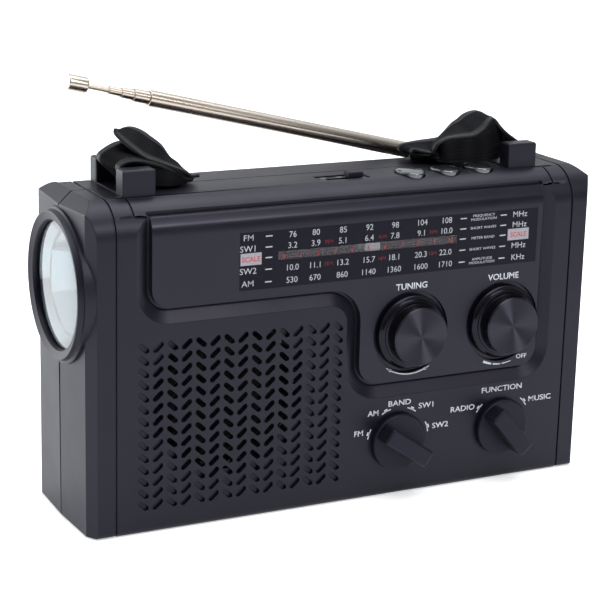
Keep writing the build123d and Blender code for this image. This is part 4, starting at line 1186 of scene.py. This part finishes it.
class RADIO_OT_strap(bpy.types.Operator):
    """Weave the carrying strap: a loop on each bracket, lanes into the channel and a bight behind"""
    bl_idname = "radio.strap"
    bl_label = "Carrying strap"

    def execute(self, context):
        s = context.scene.radio_strap
        lanes = [lane_stations(LANES[0], 1), lane_stations(LANES[1], -1)]
        bordered = [LEFT_LOOP, RIGHT_LOOP, RIGHT_TAIL, *lanes, bight_stations()]
        crumpled = [LEFT_GATHER, RIGHT_GATHER]
        meshes, total = [], 0.0
        for stations in bordered + crumpled:
            mesh, length = band_mesh(stations, s, stations not in crumpled)
            total += length
            meshes.append(thickened(mesh, s.thickness))
        mesh = joined("strap_webbing", meshes)
        made = piece("strap_webbing", mesh, "cabinet", "webbing", "webbing", "selvedge")
        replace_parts(made, "strap")
        return {"FINISHED"}


# ---- carried-over parts ------------------------------------------------------------------
class RADIO_OT_carried(bpy.types.Operator):
    """Give every CAD part that is still shown its real finish"""
    bl_idname = "radio.carried"
    bl_label = "Carried-over parts"

    def execute(self, context):
        for name, node in frame["nodes"].items():
            node.data.materials.clear()
            node.data.materials.append(finish(SLOTS[name]))
        return {"FINISHED"}


# ---- studio ------------------------------------------------------------------------------
def soft_light(name, place, aim, size, power):
    """White rectangular light of a size in metres and a power in watts, turned to its aim."""
    lamp = bpy.data.lights.new(name, "AREA")
    lamp.shape = "RECTANGLE"
    lamp.size, lamp.size_y = size
    lamp.energy = power
    way = Vector(aim) - Vector(place)
    turn = way.to_track_quat("-Z", "Y").to_matrix().to_4x4()
    stand(name, lamp).matrix_world = Matrix.Translation(place) @ turn


class RADIO_OT_studio(bpy.types.Operator):
    """Set the camera, the soft lights and the pale floor"""
    bl_idname = "radio.studio"
    bl_label = "Studio"

    def execute(self, context):
        s = context.scene.radio_studio
        self.set_camera(context.scene, s)
        self.set_floor(s)
        for name, place, aim, size, power in (
                ("left_softbox", (-1.0, 0.9, 0.3), (-0.12, 0, 0.05), (1.6, 0.6), 11),
                ("top_softbox", (0.15, -0.12, 1.4), (0, 0, 0.1), (1.5, 0.9), 17),
                ("front_softbox", (0.35, -1.12, 0.85), (0, 0, 0.08), (0.5, 0.35), 8)):
            soft_light(name, place, aim, size, power)
        context.scene.world = self.room()
        context.scene.view_settings.view_transform = "Standard"
        return {"FINISHED"}

    def room(self):
        """White room behind the radio that darkens towards the front, like screens beside the lens."""
        world = bpy.data.worlds.new("white_room")
        world.use_nodes = True
        tree = world.node_tree
        place = add(tree, "ShaderNodeTexCoord").outputs["Generated"]
        behind = add(tree, "ShaderNodeVectorMath", {0: place, 1: (-0.25, 1.0, 0.7)}, operation="DOT_PRODUCT")
        level = add(tree, "ShaderNodeMapRange", {
            "Value": behind.outputs["Value"], "From Min": -0.5, "From Max": 1.1, "To Min": 0.02,
            "To Max": 1.6})
        tree.links.new(level.outputs["Result"], tree.nodes["Background"].inputs["Strength"])
        tree.nodes["Background"].inputs["Color"].default_value = hex_linear("#eef7ff")
        return world

    def set_camera(self, scene, s):
        target = mm(-9.39, 0, 81.5)
        flat = cos(s.elevation)
        back = Vector((sin(s.azimuth) * flat, -cos(s.azimuth) * flat, sin(s.elevation)))
        right = (-back).cross(Vector((0, 0, 1))).normalized()
        up = right.cross(-back)
        across = right * cos(s.roll) + up * sin(s.roll)
        above = up * cos(s.roll) - right * sin(s.roll)
        lens = bpy.data.cameras.new("view")
        lens.lens, lens.sensor_width = s.lens, 36.0
        scene.camera = stand("view", lens)
        turn = Matrix((across, above, back)).transposed()
        scene.camera.matrix_world = Matrix.Translation(target + back * s.distance) @ turn.to_4x4()

    def set_floor(self, s):
        """Floor that curves up into a backdrop far behind."""
        reach, rise, bend = 3.0, 2.5, 1.0
        line = [(-reach, 0.0), (reach - bend, 0.0)]
        turns = [radians(a) for a in range(10, 91, 10)]
        line += [(reach - bend + bend * sin(a), bend - bend * cos(a)) for a in turns]
        line.append((reach, rise))
        corners = [Vector((x, y, z)) for y, z in line for x in (-reach, reach)]
        faces = [(2 * k, 2 * k + 1, 2 * k + 3, 2 * k + 2) for k in range(len(line) - 1)]
        mesh = mesh_from("floor", corners, faces)
        mesh.shade_smooth()
        paper, tree, shader = blank_finish("white_paper_sweep", {
            "Base Color": tuple(s.floor), "Roughness": 0.9, "Emission Color": (1, 1, 1, 1),
            "Emission Strength": 0.35})
        mesh.materials.append(paper)
        stand("floor", mesh)


class RADIO_PT_panel(bpy.types.Panel):
    """Radio tools"""
    bl_idname = "RADIO_PT_panel"
    bl_label = "Portable radio"
    bl_space_type = "VIEW_3D"
    bl_region_type = "UI"
    bl_category = "Radio"

    def draw(self, context):
        for operator in OPERATORS:
            self.layout.operator(operator.bl_idname)


SETTINGS = {
    "radio_shell": RadioShellSettings,
    "radio_grille": RadioGrilleSettings,
    "radio_dial": RadioDialSettings,
    "radio_knobs": RadioKnobSettings,
    "radio_strap": RadioStrapSettings,
    "radio_torch": RadioTorchSettings,
    "radio_studio": RadioStudioSettings,
}
OPERATORS = (
    RADIO_OT_studio, RADIO_OT_carried, RADIO_OT_cabinet, RADIO_OT_grille, RADIO_OT_dial, RADIO_OT_knobs,
    RADIO_OT_top, RADIO_OT_antenna, RADIO_OT_torch, RADIO_OT_strap)


def register():
    for name, group in SETTINGS.items():
        bpy.utils.register_class(group)
        setattr(bpy.types.Scene, name, bpy.props.PointerProperty(type=group))
    for made in (*OPERATORS, RADIO_PT_panel):
        bpy.utils.register_class(made)


def unregister():
    for made in (RADIO_PT_panel, *reversed(OPERATORS)):
        bpy.utils.unregister_class(made)
    for name, group in SETTINGS.items():
        delattr(bpy.types.Scene, name)
        bpy.utils.unregister_class(group)


def main():
    register()
    for operator in OPERATORS:
        group, name = operator.bl_idname.split(".")
        getattr(getattr(bpy.ops, group), name)()


if __name__ == "__main__":
    main()
